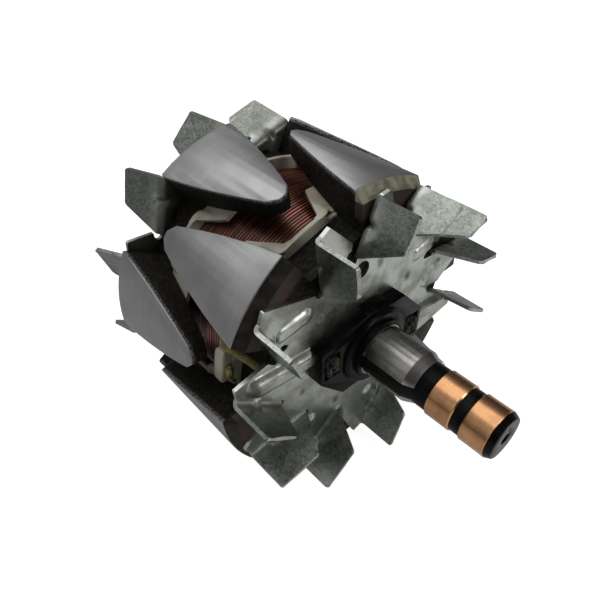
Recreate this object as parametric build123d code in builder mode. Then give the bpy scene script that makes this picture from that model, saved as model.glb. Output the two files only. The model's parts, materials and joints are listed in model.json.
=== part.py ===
from build123d import *
from math import cos, radians, sin, tan
import os

# Claw-pole rotor of a vehicle alternator. Millimetres. The shaft lies along X, with the slip
# rings towards +X and the drive end towards -X. +Z is up, and the origin is on the shaft's axis,
# half way between the two pole end faces. Angles are seen from the slip-ring end: 0 is up, +90 is +Y.

os.makedirs("parts", exist_ok=True)

# Pole pieces
rotor_radius = 51.0
claw_count = 6
rear_claw_angle = -48.7        # middle of one rear claw; the front claws stand half a pitch on
pack_half = 28.9               # from the middle to each pole end face
claw_chamfer_length = 2.9      # along the axis, at the shoulder of each rear claw
claw_chamfer_depth = 3.2       # towards the axis
claw_edge = 0.5                # the front pole's shoulders are only eased
claw_tip_reach = 12.8          # how far a claw's tip passes the middle of the rotor
claw_base_half_angle = 15.25
claw_tip_half_angle = 3.2
claw_side_bulge = 1.1          # degrees by which a claw's side bows out at mid length
claw_nose = 2.4                # length of the rounded nose at the tip
claw_tip_thickness = 5.2
claw_root_radius = 39.6        # inside face of a claw where it leaves the web
web_thickness = 10.7
valley_floor = 37.4            # flat of the web between two claws, from the axis

# Core, bobbin and coil
core_radius = 26.0
spool_gap = 0.1                # between the bobbin and what it lies against
flange_thickness = 1.6
barrel_thickness = 1.5
coil_radius = 37.4
wire_pitch = 1.1
skirt_gap = 0.35               # between a petal and the claw above it
skirt_wall = 1.2
petal_reach = 12.5             # length of a petal along the axis
window_half_width = 11.5       # opening between two petals at their free edge
window_floor_half_width = 6.5  # the same at the flange
window_corner = 1.5
flange_half_angle = 12.0       # part of the flange that stands up in each valley
flange_radius = 41.0           # outside of the flange there

# Shaft
seat_radius = 10.4             # under the poles
collar_seat_radius = 8.8       # under the slip-ring moulding's collar
journal_radius = 8.5           # rear bearing, 17 mm bore
front_journal_radius = 10.0    # front bearing, 20 mm bore
spacer_seat_radius = 10.2
rear_journal_end = 52.6
rear_taper_length = 3.2
rear_taper_radius = 7.1
ring_core_radius = 3.7         # shaft inside the slip-ring moulding
ring_core_end = 78.0
front_journal_end = 57.0
thread_radius = 7.9
front_end = 81.3
end_chamfer = 1.5
centre_hole_radius = 2.2
centre_hole_depth = 4.0
groove_width = 4.8             # two grooves that carry the conductors past the rear journal
groove_floor = 4.2
groove_angle = -87.0
slide_gap = 0.05

# Fans
sheet = 1.2
fan_radius = 49.5
front_fan_radius = 51.6
bend_radius = 1.1              # inside of the bend at a blade's root
blade_height = 15.1            # from the pole end face to a blade's tip
blade_corner = 2.2
blade_slant = 7.0              # a blade is this much longer at its root than at its tip
lobe_width_angle = 6.5         # flat tongue beside each blade, at the rim
lobe_flare = 26.0              # angle of a tongue's free edge to the radius
hub_radius = 34.0
root_slot = 1.4                # cut beside each blade's root
relief_radius = 1.3            # round end of that cut
gusset_reach = 3.6             # up the blade and along the tongue
gusset_width = 2.2
gusset_place = 8.0             # from the blade's outer edge, along its root
rib_width = 3.2
rib_height = 0.8
rib_wall = 1.6
rear_fan_bore = 10.0
sight_hole_radius = 2.9
sight_hole_middle = 27.4
sight_hole_angle = -5.8

# Blades, each with the angle of its outer edge, its lean from the radius and its length at the tip.
# The spacing is uneven, which spreads the fan's noise.
rear_blades = [
    (-25.2, 18.0, 10.5), (0.8, 23.0, 10.5), (22.5, 30.0, 9.5), (43.8, 27.0, 9.0),
    (70.5, 27.0, 9.0), (100.2, 23.0, 12.0), (136.0, 25.0, 13.0), (172.7, 27.0, 14.5),
    (211.5, 21.0, 14.5), (245.0, 18.0, 14.5), (276.5, 33.0, 12.5), (304.0, 32.0, 9.0),
]
front_lean = 48.0
front_tip = 12.0
front_angles = [-3.4, 25.5, 56.0, 88.0, 120.0, 152.0, 186.0, 221.0, 257.0, 293.0, 325.0]
front_blades = [(angle, front_lean, front_tip) for angle in front_angles]

# Ribs, each with its middle's radius and angle, its turn from the radius, and its length
rear_ribs = [
    (32.8, 49.7, 28.0, 9.5), (33.1, 75.1, -21.7, 11.1), (35.6, -52.1, -48.6, 12.3),
    (35.2, -140.6, -29.0, 11.7), (34.0, 24.0, -20.0, 9.0), (33.0, 132.0, -25.0, 10.0),
    (34.0, 166.0, -25.0, 11.0), (34.0, -165.0, -25.0, 11.0),
]
front_ribs = [(35.0, angle - 6.0, -40.0, 8.0) for angle in front_angles]

# Slip rings, and the moulding that carries them
ring_radius = 7.4
ring_bore = 6.1
inner_ring_start = 60.25
inner_ring_length = 8.15
outer_ring_start = 71.5
outer_ring_length = 8.1
neck_radius = 6.9
end_cap_length = 1.7
cap_chamfer = 0.9
cap_hole_radius = 1.8
ring_chamfer = 0.3
collar_flange_radius = 14.6
collar_flange_thickness = 2.4
collar_radius = 13.1
collar_length = 6.6
collar_nose_radius = 10.2
collar_nose_length = 8.0
collar_chamfer = 0.9
key_lap = 2.0                  # inside the neck, where the keys join it
arm_thickness = 5.0
arm_reach = 22.2
arm_shoulder = 14.3            # height of an arm's straight side where it leaves the collar
arm_far_top = 9.8
arm_far_bottom = 2.2
arm_elbow = 12.6
arm_root = 4.5                 # half the length of the straight side across the collar
pocket_floor = 1.4             # under the pocket in each arm
pocket_wall = 1.4
pocket_length = 6.0
pocket_half_width = 4.6
potting_drop = 1.0             # from the arm's top down to the resin

# Conductors and leads
conductor_width = 1.8
conductor_floor = 4.5
conductor_thickness = 1.0
foot_length = 4.0              # part of the conductor that reaches out to its ring
foot_gap = 0.1
hook_tab_width = 1.2
hook_tab_bottom = 0.0
hook_tab_top = 5.8
hook_rise = 2.4                # from the moulding's seat up to the conductor in the pocket
lead_angle = -75.0
sleeve_radius = 1.15
wire_radius = 0.5
lead_crossing = 43.6           # radius at which a lead passes over the bobbin's flange
channel_gap = 0.15
channel_start = 41.5
channel_end = 23.8
lead_clearance = 2.0           # between a sleeve and the bobbin's skirt
lead_bend = 2.2                # radius of a lead's bends
lead_entry = 23.4              # where a lead leaves the fan's face for its pocket
sleeve_start = 39.0            # radius from which the lead is sleeved
sleeve_stop = 0.6              # share of the way down to the pocket that is sleeved

# Spacer at the drive end
spacer_radius = 12.8
spacer_length = 8.4
spacer_chamfer = 0.8

# Places that follow from the sizes above
claw_base = pack_half - claw_chamfer_length
web_face = pack_half - web_thickness
half_pitch = 180.0 / claw_count
spool_half = web_face - spool_gap
coil_half = spool_half - flange_thickness
fan_face = pack_half + sheet
seat = fan_face
spacer_end = fan_face + spacer_length
collar_end = seat + collar_nose_length
journal_step = rear_journal_end + rear_taper_length
rings_end = outer_ring_start + outer_ring_length
lead_height = pack_half + sleeve_radius + slide_gap
claw_slope = (rotor_radius - claw_tip_thickness - claw_root_radius) / (web_face + claw_tip_reach)


def polar(radius, angle, height=0.0):
    """A point at a radius and an angle from the top, at a place along the shaft."""
    return Vector(height, radius * sin(radians(angle)), radius * cos(radians(angle)))


def section():
    """The half plane in which turned profiles are drawn, as (along the shaft, radius)."""
    return Plane.XY


def claw_half_angle(share):
    """Half the width of a claw in degrees, at a share of its length from the base."""
    straight = claw_base_half_angle + (claw_tip_half_angle - claw_base_half_angle) * share
    return straight + 4.0 * claw_side_bulge * share * (1.0 - share)


def valley_face(side, angle, radius):
    """Outline of the space between two claws, on the tangent plane at a radius."""
    plane = Plane(origin=polar(radius, angle), x_dir=(1, 0, 0), z_dir=polar(1.0, angle))
    claw_length = claw_base + claw_tip_reach
    nose_share = 1.0 - claw_nose / claw_length

    def edge(share, across):
        along = side * (claw_base - share * claw_length)
        return (along, across * radius * tan(radians(half_pitch - claw_half_angle(share))))

    tip = side * -claw_tip_reach
    beyond = side * (-claw_tip_reach - 2.0)
    outside = side * (pack_half + 2.0)
    nose = radius * tan(radians(half_pitch - 0.4 * claw_tip_half_angle))
    with BuildSketch(plane) as face:
        with BuildLine():
            upper = Spline(edge(0.0, 1), edge(0.33, 1), edge(0.66, 1), edge(nose_share, 1))
            upper_nose = Line(upper @ 1, (tip, nose))
            Polyline(upper_nose @ 1, (beyond, nose), (beyond, -nose), (tip, -nose))
            lower = Spline(edge(0.0, -1), edge(0.33, -1), edge(0.66, -1), edge(nose_share, -1))
            Line(lower @ 1, (tip, -nose))
            Polyline(upper @ 0, (outside, (upper @ 0).Y), (outside, (lower @ 0).Y), lower @ 0)
        make_face()
    return face.sketch.faces()[0]


def valley_cutter(side, angle):
    """The wedge that is open between two claws, with radial sides."""
    lower = valley_face(side, angle, valley_floor)
    upper = valley_face(side, angle, rotor_radius + 2.0)
    return Solid.make_loft([lower.outer_wire(), upper.outer_wire()], True)


def valley_angles(claw_angle):
    return [claw_angle + half_pitch * (2 * n + 1) for n in range(claw_count)]


# Claw poles: a web on the shaft, and claws that reach over the coil
front_claw_angle = rear_claw_angle + half_pitch
for pole_name, side, claw_angle, chamfer_length, chamfer_depth in [
    ("rear_claw_pole", 1, rear_claw_angle, claw_chamfer_length, claw_chamfer_depth),
    ("front_claw_pole", -1, front_claw_angle, claw_edge, claw_edge),
]:
    with BuildPart() as claw_pole:
        with BuildSketch(section()):
            with BuildLine():
                Polyline(
                    (side * web_face, seat_radius),
                    (side * pack_half, seat_radius),
                    (side * pack_half, rotor_radius - chamfer_depth),
                    (side * (pack_half - chamfer_length), rotor_radius),
                    (-side * claw_tip_reach, rotor_radius),
                    (-side * claw_tip_reach, rotor_radius - claw_tip_thickness),
                    (side * web_face, claw_root_radius),
                    close=True,
                )
            make_face()
        revolve(axis=Axis.X)
        for angle in valley_angles(claw_angle):
            add(valley_cutter(side, angle), mode=Mode.SUBTRACT)
    claw_pole.part.label = pole_name
    export_step(claw_pole.part, "parts/" + pole_name + ".step")


# Core: the steel sleeve that carries the flux between the two webs
with BuildPart() as field_core:
    with BuildSketch(Plane.YZ.offset(-web_face)):
        Circle(core_radius)
        Circle(seat_radius, mode=Mode.SUBTRACT)
    extrude(amount=2.0 * web_face)
field_core.part.label = "field_core"
export_step(field_core.part, "parts/field_core.step")


# Bobbin: a barrel with two flanges that stand up in the valleys, and petals under the claws
bobbin_bore = core_radius + spool_gap
barrel_radius = bobbin_bore + barrel_thickness
skirt_root = claw_root_radius - skirt_gap
skirt_tip = skirt_root + claw_slope * petal_reach


def window_cutter(side, angle):
    """Opening between two petals, wider towards their free edge, with its two corners cut off."""
    plane = Plane(origin=polar(coil_radius, angle), x_dir=(1, 0, 0), z_dir=polar(1.0, angle))
    free_edge = spool_half - petal_reach - 1.0
    with BuildPart() as cutter:
        with BuildSketch(plane):
            with BuildLine():
                Polyline(
                    (side * free_edge, window_half_width),
                    (side * (coil_half - window_corner), window_floor_half_width),
                    (side * coil_half, window_floor_half_width - window_corner),
                    (side * coil_half, window_corner - window_floor_half_width),
                    (side * (coil_half - window_corner), -window_floor_half_width),
                    (side * free_edge, -window_half_width),
                    close=True,
                )
            make_face()
        extrude(amount=rotor_radius - coil_radius)
    return cutter.part


def turned_plane(angle):
    """Plane through the shaft's axis at an angle, drawn as (along the shaft, radius)."""
    return Plane(origin=(0, 0, 0), x_dir=(1, 0, 0), z_dir=polar(1.0, angle - 90.0))


with BuildPart() as coil_bobbin:
    with BuildSketch(Plane.YZ.offset(-spool_half)):
        Circle(barrel_radius)
        Circle(bobbin_bore, mode=Mode.SUBTRACT)
    extrude(amount=2.0 * spool_half)
    for side, claw_angle in [(1, rear_claw_angle), (-1, front_claw_angle)]:
        with BuildSketch(section()):
            with BuildLine():
                Polyline(
                    (side * coil_half, bobbin_bore),
                    (side * spool_half, bobbin_bore),
                    (side * spool_half, skirt_root),
                    (side * (spool_half - petal_reach), skirt_tip),
                    (side * (spool_half - petal_reach), skirt_tip - skirt_wall),
                    (side * coil_half, skirt_root - skirt_wall),
                    close=True,
                )
            make_face()
        revolve(axis=Axis.X)
        for angle in valley_angles(claw_angle):
            add(window_cutter(side, angle), mode=Mode.SUBTRACT)
            with BuildSketch(turned_plane(angle + flange_half_angle)):
                with BuildLine():
                    Polyline(
                        (side * coil_half, barrel_radius),
                        (side * coil_half, flange_radius),
                        (side * spool_half, flange_radius),
                        (side * spool_half, barrel_radius),
                        close=True,
                    )
                make_face()
            revolve(axis=Axis.X, revolution_arc=2.0 * flange_half_angle)
coil_bobbin.part.label = "coil_bobbin"
export_step(coil_bobbin.part, "parts/coil_bobbin.step")


# Leads: each end of the winding leaves the coil through a valley, crosses the bobbin's flange,
# drops to the pole's end face and runs in to a pocket of the slip-ring moulding
pocket_centre = arm_reach - pocket_wall - 0.5 * pocket_length
hook_height = seat + hook_rise
lead_exit = coil_half - sleeve_radius - lead_clearance
lead_end_offset = pocket_centre + 0.5 * hook_tab_width + wire_radius + slide_gap
lead_end = lead_end_offset / cos(radians(lead_angle + 90.0))


def lead_rod(angle, radius, parts):
    """A round rod along some of the straight parts of a lead's line, with rounded corners.

    The parts are counted from the coil: up, along, in, and down to the pocket.
    """
    sleeve_end_height = lead_height + sleeve_stop * (hook_height - lead_height)
    sleeve_end_radius = lead_entry + sleeve_stop * (lead_end - lead_entry)
    corners = [
        (lead_exit, coil_radius - wire_pitch),
        (lead_exit, sleeve_start),
        (lead_exit, lead_crossing),
        (lead_height, lead_crossing),
        (lead_height, lead_entry),
        (sleeve_end_height, sleeve_end_radius),
        (hook_height, lead_end),
    ]
    with BuildPart() as rod:
        with BuildLine(turned_plane(angle)) as route:
            FilletPolyline(*[corners[part] for part in parts], radius=lead_bend)
        line = route.wires()[0]
        with BuildSketch(Plane(origin=line @ 0, z_dir=line % 0)):
            Circle(radius)
        sweep(path=line)
    return rod.part


lead_angles = [("start", lead_angle), ("finish", lead_angle + 180.0)]

with BuildPart() as field_coil:
    turns = int(2.0 * coil_half / wire_pitch)
    coil_start = -coil_half + spool_gap
    turn_pitch = 2.0 * (coil_half - spool_gap) / turns
    with BuildSketch(section()):
        with BuildLine():
            crests = [
                (coil_start + 0.5 * turn_pitch * step, coil_radius - 0.3 * wire_pitch * ((step + 1) % 2))
                for step in range(2 * turns + 1)
            ]
            Polyline((coil_start, barrel_radius), *crests, (-coil_start, barrel_radius), close=True)
        make_face()
    revolve(axis=Axis.X)
    for lead_name, angle in lead_angles:
        add(lead_rod(angle, wire_radius, (0, 2, 3, 4, 6)))
field_coil.part.label = "field_coil"
export_step(field_coil.part, "parts/field_coil.step")


# Sleeves: woven insulation over each lead, from the coil to the pocket
for lead_name, angle in lead_angles:
    with BuildPart() as lead_sleeve:
        add(lead_rod(angle, sleeve_radius, (1, 2, 3, 4, 5)))
        add(lead_rod(angle, wire_radius, (0, 2, 3, 4, 6)), mode=Mode.SUBTRACT)
    lead_sleeve.part.label = lead_name + "_lead_sleeve"
    export_step(lead_sleeve.part, "parts/" + lead_name + "_lead_sleeve.step")


# Shaft: pole seat, two bearing journals, a grooved and thinned end for the slip rings,
# and a plain end at the drive side
with BuildPart() as shaft:
    with BuildSketch(section()):
        with BuildLine():
            Polyline(
                (-front_end, 0),
                (-front_end, thread_radius - end_chamfer),
                (-front_end + end_chamfer, thread_radius),
                (-front_journal_end, thread_radius),
                (-front_journal_end, front_journal_radius),
                (-spacer_end, front_journal_radius),
                (-spacer_end, spacer_seat_radius),
                (-fan_face, spacer_seat_radius),
                (-fan_face, seat_radius),
                (pack_half, seat_radius),
                (pack_half, collar_seat_radius),
                (collar_end, collar_seat_radius),
                (collar_end, journal_radius),
                (rear_journal_end, journal_radius),
                (journal_step, rear_taper_radius),
                (journal_step, ring_core_radius),
                (ring_core_end, ring_core_radius),
                (ring_core_end, 0),
                close=True,
            )
        make_face()
    revolve(axis=Axis.X)
    groove_length = journal_step - seat + groove_width
    for angle in [groove_angle, groove_angle + 180.0]:
        floor_plane = Plane(origin=polar(groove_floor, angle), x_dir=(1, 0, 0), z_dir=polar(1.0, angle))
        with BuildSketch(floor_plane):
            with Locations((seat + groove_length / 2.0, 0)):
                Rectangle(groove_length, groove_width)
        extrude(amount=journal_radius, mode=Mode.SUBTRACT)
    with BuildSketch(Plane.YZ.offset(-front_end)):
        Circle(centre_hole_radius)
    extrude(amount=centre_hole_depth, taper=20.0, mode=Mode.SUBTRACT)
shaft.part.label = "shaft"
export_step(shaft.part, "parts/shaft.step")


# Spacer: holds the drive-end bearing off the front fan
with BuildPart() as front_spacer:
    with BuildSketch(Plane.YZ.offset(-spacer_end)):
        Circle(spacer_radius)
        Circle(spacer_seat_radius, mode=Mode.SUBTRACT)
    extrude(amount=spacer_length)
    outer_rim = front_spacer.faces().sort_by(Axis.X)[0].edges().sort_by(SortBy.LENGTH)[-1]
    chamfer(outer_rim, length=spacer_chamfer)
front_spacer.part.label = "front_spacer"
export_step(front_spacer.part, "parts/front_spacer.step")


# Fans: one pressed sheet each, with a tongue and a bent-up blade at every place in its list
bend_outside = sheet + bend_radius
channel_half_width = sleeve_radius + channel_gap
channel_top = lead_height + sleeve_radius + channel_gap


def blade_frame(side, radius, angle, lean):
    """Outer corner of a blade's root, the way in along the root, and the way to its tongue."""
    outward = polar(1.0, angle)
    around = polar(1.0, angle + 90.0)
    inward = outward * -cos(radians(lean)) - around * sin(radians(lean))
    across = around * cos(radians(lean)) - outward * sin(radians(lean))
    return polar(radius, angle, side * pack_half), inward, across


def fan_blade(side, radius, angle, lean, tip_length):
    """One blade with its bend and gusset, standing on the pole's end face."""
    corner, inward, across = blade_frame(side, radius, angle, lean)
    root_length = tip_length + blade_slant
    bend_from = 180.0 if side > 0 else 90.0
    with BuildPart() as blade:
        with BuildSketch(Plane(origin=corner, x_dir=across, z_dir=inward)):
            with BuildLine():
                Polyline(
                    (0, side * bend_outside),
                    (0, side * blade_height),
                    (sheet, side * blade_height),
                    (sheet, side * bend_outside),
                )
                CenterArc((bend_outside, side * bend_outside), bend_radius, bend_from, 90.0)
                Line((bend_outside, side * sheet), (bend_outside, 0))
                CenterArc((bend_outside, side * bend_outside), bend_outside, bend_from, 90.0)
            make_face()
        extrude(amount=root_length)
        with BuildSketch(Plane(origin=corner, x_dir=inward, z_dir=across * -1)) as outline:
            with BuildLine():
                Polyline(
                    (0, 0),
                    (0, side * blade_height),
                    (tip_length, side * blade_height),
                    (root_length, side * bend_outside),
                    (root_length, 0),
                    close=True,
                )
            make_face()
            height_order = outline.vertices().sort_by(Axis.Y)
            fillet(height_order[-2:] if side > 0 else height_order[:2], radius=blade_corner)
        extrude(amount=bend_outside + 1.0, both=True, mode=Mode.INTERSECT)
        with BuildSketch(Plane(origin=corner + inward * gusset_place, x_dir=across, z_dir=inward)):
            Polygon(
                (sheet, side * sheet),
                (sheet, side * (sheet + gusset_reach)),
                (sheet + gusset_reach, side * sheet),
                align=None,
            )
        extrude(amount=0.5 * gusset_width, both=True)
    return blade.part


def flat_points(points):
    """Points of a drawing on the fan's plane, from places in space."""
    return [(point.Y, point.Z) for point in points]


def tongue_outline(radius, angle, lean, tip_length):
    """The flat tongue on which a blade stands."""
    corner, inward, across = blade_frame(0, radius, angle, lean)
    edge_angle = angle + lobe_width_angle
    free_corner = polar(radius, edge_angle)
    free_way = polar(1.0, edge_angle + 90.0) * sin(radians(lobe_flare))
    free_way = free_way - polar(1.0, edge_angle) * cos(radians(lobe_flare))
    free_length = (radius - hub_radius) / cos(radians(lobe_flare)) + sheet
    near = corner + across * bend_outside
    far = near + inward * (tip_length + blade_slant)
    return flat_points([near, far, free_corner + free_way * free_length, free_corner])


def slot_outline(radius, angle, lean, tip_length):
    """The cut beside a blade's root, out of which the blade was bent."""
    corner, inward, across = blade_frame(0, radius, angle, lean)
    outer = corner - inward * blade_corner
    inner = corner + inward * (tip_length + blade_slant)
    return flat_points([
        outer - across * root_slot,
        inner - across * root_slot,
        inner + across * bend_outside,
        outer + across * bend_outside,
    ])


rear_channels = [angle for lead_name, angle in lead_angles]
for fan_name, side, radius, bore, blades, ribs, channels in [
    ("rear_fan", 1, fan_radius, rear_fan_bore, rear_blades, rear_ribs, rear_channels),
    ("front_fan", -1, front_fan_radius, seat_radius, front_blades, front_ribs, []),
]:
    bent_blades = [fan_blade(side, radius, *blade) for blade in blades]
    inner_face = Plane.YZ.offset(side * pack_half)
    with BuildPart() as fan:
        with BuildSketch(inner_face):
            Circle(hub_radius)
            for blade in blades:
                Polygon(*tongue_outline(radius, *blade), align=None)
            for angle, lean, tip_length in blades:
                Polygon(*slot_outline(radius, angle, lean, tip_length), align=None, mode=Mode.SUBTRACT)
                corner, inward, across = blade_frame(0, radius, angle, lean)
                with Locations(*flat_points([corner + inward * (tip_length + blade_slant)])):
                    Circle(relief_radius, mode=Mode.SUBTRACT)
            Circle(bore, mode=Mode.SUBTRACT)
            with Locations(*flat_points([polar(sight_hole_middle, side * sight_hole_angle)])):
                Circle(sight_hole_radius, mode=Mode.SUBTRACT)
        extrude(amount=side * sheet)
        for rib_middle, rib_angle, skew, length in ribs:
            for trim, height, mode in [
                (0.0, sheet + rib_height, Mode.ADD),
                (rib_wall, rib_height, Mode.SUBTRACT),
            ]:
                with BuildSketch(inner_face):
                    with Locations(*flat_points([polar(rib_middle, rib_angle)])):
                        SlotOverall(length - trim, rib_width - trim, rotation=90.0 - rib_angle - skew)
                extrude(amount=side * height, mode=mode)
        for channel in channels:
            with BuildSketch(inner_face):
                with Locations(*flat_points([polar(0.5 * (channel_start + channel_end), channel)])):
                    Rectangle(
                        channel_start - channel_end,
                        2.0 * (channel_half_width + sheet),
                        rotation=90.0 - channel,
                    )
            extrude(amount=channel_top + sheet - pack_half)
            with BuildSketch(inner_face):
                with Locations(*flat_points([polar(0.5 * (fan_radius + lead_end), channel)])):
                    Rectangle(
                        fan_radius - lead_end,
                        2.0 * channel_half_width,
                        rotation=90.0 - channel,
                    )
            extrude(amount=channel_top - pack_half, mode=Mode.SUBTRACT)
        for bent_blade in bent_blades:
            add(bent_blade)
    fan.part.label = fan_name
    export_step(fan.part, "parts/" + fan_name + ".step")


# Slip rings
for ring_name, ring_start, ring_length in [
    ("inner_slip_ring", inner_ring_start, inner_ring_length),
    ("outer_slip_ring", outer_ring_start, outer_ring_length),
]:
    with BuildPart() as slip_ring:
        with BuildSketch(Plane.YZ.offset(ring_start)):
            Circle(ring_radius)
            Circle(ring_bore, mode=Mode.SUBTRACT)
        extrude(amount=ring_length)
        outside_edges = slip_ring.edges().filter_by(GeomType.CIRCLE).sort_by(SortBy.RADIUS)[-2:]
        chamfer(outside_edges, length=ring_chamfer)
    slip_ring.part.label = ring_name
    export_step(slip_ring.part, "parts/" + ring_name + ".step")


# Conductors: a bar in a shaft groove, a hook in the arm's pocket and a foot under its ring
pocket_middle = 0.5 * (hook_tab_top + hook_tab_bottom)
ring_feet = [
    (0.0, inner_ring_start + 0.5 * inner_ring_length),
    (180.0, outer_ring_start + 0.5 * outer_ring_length),
]


def groove_plane(turn):
    """Plane on which the conductor of one groove lies, drawn as (along the shaft, across)."""
    angle = groove_angle + turn
    return Plane(origin=polar(conductor_floor, angle), x_dir=(1, 0, 0), z_dir=polar(1.0, angle))


def conductor(turn, ring_middle):
    """One conductor, at the side of the shaft given by a half turn or none."""
    flip = 1.0 if turn == 0.0 else -1.0
    bar_end = ring_middle + 0.5 * foot_length
    half_thickness = 0.5 * conductor_thickness
    with BuildPart() as bar:
        with BuildSketch(groove_plane(turn)):
            with Locations((0.5 * (hook_height - half_thickness + bar_end), 0)):
                Rectangle(bar_end - hook_height + half_thickness, conductor_width)
        extrude(amount=conductor_thickness)
        with BuildSketch(groove_plane(turn)):
            with Locations((ring_middle, 0)):
                Rectangle(foot_length, conductor_width)
        extrude(amount=ring_bore - foot_gap - conductor_floor)
        with BuildSketch(groove_plane(turn)):
            with Locations((hook_height, 0)):
                Rectangle(conductor_thickness, conductor_width)
        extrude(amount=pocket_centre - conductor_floor)
        with BuildSketch(Plane.YZ.offset(hook_height - half_thickness)):
            with Locations((-flip * pocket_centre, flip * pocket_middle)):
                Rectangle(hook_tab_width, hook_tab_top - hook_tab_bottom)
        extrude(amount=conductor_thickness)
    return bar.part


conductors = []
for bar_name, foot in zip(["inner_ring_conductor", "outer_ring_conductor"], ring_feet):
    ring_bar = conductor(*foot)
    conductors.append(ring_bar)
    ring_bar.label = bar_name
    export_step(ring_bar, "parts/" + bar_name + ".step")


# Slip-ring moulding: collar with two arms on the fan, keys in the shaft's grooves,
# and the core and end cap that carry the rings
collar_bore = collar_seat_radius + slide_gap
cap_end = rings_end + end_cap_length


def keys():
    """The two strips that fill the shaft's grooves, flush with the journal."""
    with BuildPart() as strips:
        with BuildSketch(section()):
            with BuildLine():
                Polyline(
                    (seat, 0.5 * groove_floor),
                    (seat, collar_nose_radius - collar_chamfer),
                    (collar_end, collar_nose_radius - collar_chamfer),
                    (collar_end, journal_radius - slide_gap),
                    (rear_journal_end, journal_radius - slide_gap),
                    (journal_step, rear_taper_radius - slide_gap),
                    (journal_step + key_lap, neck_radius - slide_gap),
                    (journal_step + key_lap, ring_core_radius + slide_gap),
                    (journal_step + slide_gap, ring_core_radius + slide_gap),
                    (journal_step + slide_gap, 0.5 * groove_floor),
                    close=True,
                )
            make_face()
        revolve(axis=Axis.X)
        plane = Plane(origin=(0, 0, 0), x_dir=(1, 0, 0), z_dir=polar(1.0, groove_angle))
        with BuildSketch(plane):
            Rectangle(4.0 * journal_step, groove_width - 2.0 * slide_gap)
        extrude(amount=collar_radius, both=True, mode=Mode.INTERSECT)
        with BuildSketch(plane):
            Rectangle(2.0 * (journal_step + slide_gap), groove_width)
        extrude(amount=groove_floor + slide_gap, both=True, mode=Mode.SUBTRACT)
    return strips.part


with BuildPart() as slip_ring_moulding:
    with BuildSketch(section()):
        with BuildLine():
            Polyline(
                (seat, collar_bore),
                (seat, collar_flange_radius),
                (seat + collar_flange_thickness, collar_flange_radius),
                (seat + collar_flange_thickness, collar_radius),
                (seat + collar_length - collar_chamfer, collar_radius),
                (seat + collar_length, collar_radius - collar_chamfer),
                (seat + collar_length, collar_nose_radius),
                (collar_end, collar_nose_radius),
                (collar_end, collar_bore),
                close=True,
            )
        make_face()
    revolve(axis=Axis.X)
    for flip in (1.0, -1.0):
        with BuildSketch(Plane.YZ.offset(seat)):
            Polygon(
                (0, flip * arm_shoulder),
                (-flip * arm_root, flip * arm_shoulder),
                (-flip * arm_reach, flip * arm_far_top),
                (-flip * arm_reach, -flip * arm_far_bottom),
                (-flip * arm_elbow, -flip * arm_elbow),
                (0, -flip * arm_elbow),
                align=None,
            )
            Circle(collar_bore, mode=Mode.SUBTRACT)
        extrude(amount=arm_thickness)
        with BuildSketch(Plane.YZ.offset(seat + pocket_floor)):
            with Locations((-flip * pocket_centre, flip * pocket_middle)):
                Rectangle(pocket_length, 2.0 * pocket_half_width)
        extrude(amount=arm_thickness, mode=Mode.SUBTRACT)
    add(keys())
    with BuildSketch(section()):
        with BuildLine():
            Polyline(
                (journal_step + slide_gap, ring_core_radius + slide_gap),
                (journal_step + slide_gap, neck_radius),
                (inner_ring_start, neck_radius),
                (inner_ring_start, ring_bore),
                (inner_ring_start + inner_ring_length, ring_bore),
                (inner_ring_start + inner_ring_length, neck_radius),
                (outer_ring_start, neck_radius),
                (outer_ring_start, ring_bore),
                (rings_end, ring_bore),
                (rings_end, ring_radius - slide_gap),
                (cap_end, ring_radius - cap_chamfer),
                (cap_end, cap_hole_radius),
                (ring_core_end + slide_gap, cap_hole_radius),
                (ring_core_end + slide_gap, ring_core_radius + slide_gap),
                close=True,
            )
        make_face()
    revolve(axis=Axis.X)
    for ring_bar in conductors:
        add(ring_bar, mode=Mode.SUBTRACT)
    for turn, ring_middle in ring_feet:
        with BuildSketch(groove_plane(turn)):
            with Locations((ring_middle, 0)):
                Rectangle(foot_length, conductor_width)
        extrude(amount=ring_radius - conductor_floor, mode=Mode.SUBTRACT)
    for lead_name, angle in lead_angles:
        add(lead_rod(angle, sleeve_radius + slide_gap, (3, 4, 6)), mode=Mode.SUBTRACT)
slip_ring_moulding.part.label = "slip_ring_moulding"
export_step(slip_ring_moulding.part, "parts/slip_ring_moulding.step")


# Potting: resin over the joint between each lead and its conductor
for (lead_name, angle), ring_bar, flip in zip(lead_angles, conductors, (1.0, -1.0)):
    with BuildPart() as potting:
        with BuildSketch(Plane.YZ.offset(seat + pocket_floor)):
            with Locations((-flip * pocket_centre, flip * pocket_middle)):
                Rectangle(pocket_length, 2.0 * pocket_half_width)
        extrude(amount=arm_thickness - pocket_floor - potting_drop)
        add(ring_bar, mode=Mode.SUBTRACT)
        add(lead_rod(angle, sleeve_radius, (3, 4, 5)), mode=Mode.SUBTRACT)
        add(lead_rod(angle, wire_radius, (3, 4, 6)), mode=Mode.SUBTRACT)
    potting.part.label = lead_name + "_joint_potting"
    export_step(potting.part, "parts/" + lead_name + "_joint_potting.step")
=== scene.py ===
# %% [markdown]
# # An alternator rotor, dressed in Blender
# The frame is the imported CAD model: a shaft along X with its slip rings at +X, two clawed steel poles
# over a copper coil, and a pressed fan on each end. Each step below takes one real piece, says what it
# is, and builds its surface or its finish. Shapes are worked out in millimetres, as on a workshop
# drawing, and become metres only when a mesh is written.

# %% Load the frame
import json

import bmesh
import bpy
import numpy as np
from mathutils import Matrix, Vector

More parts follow.
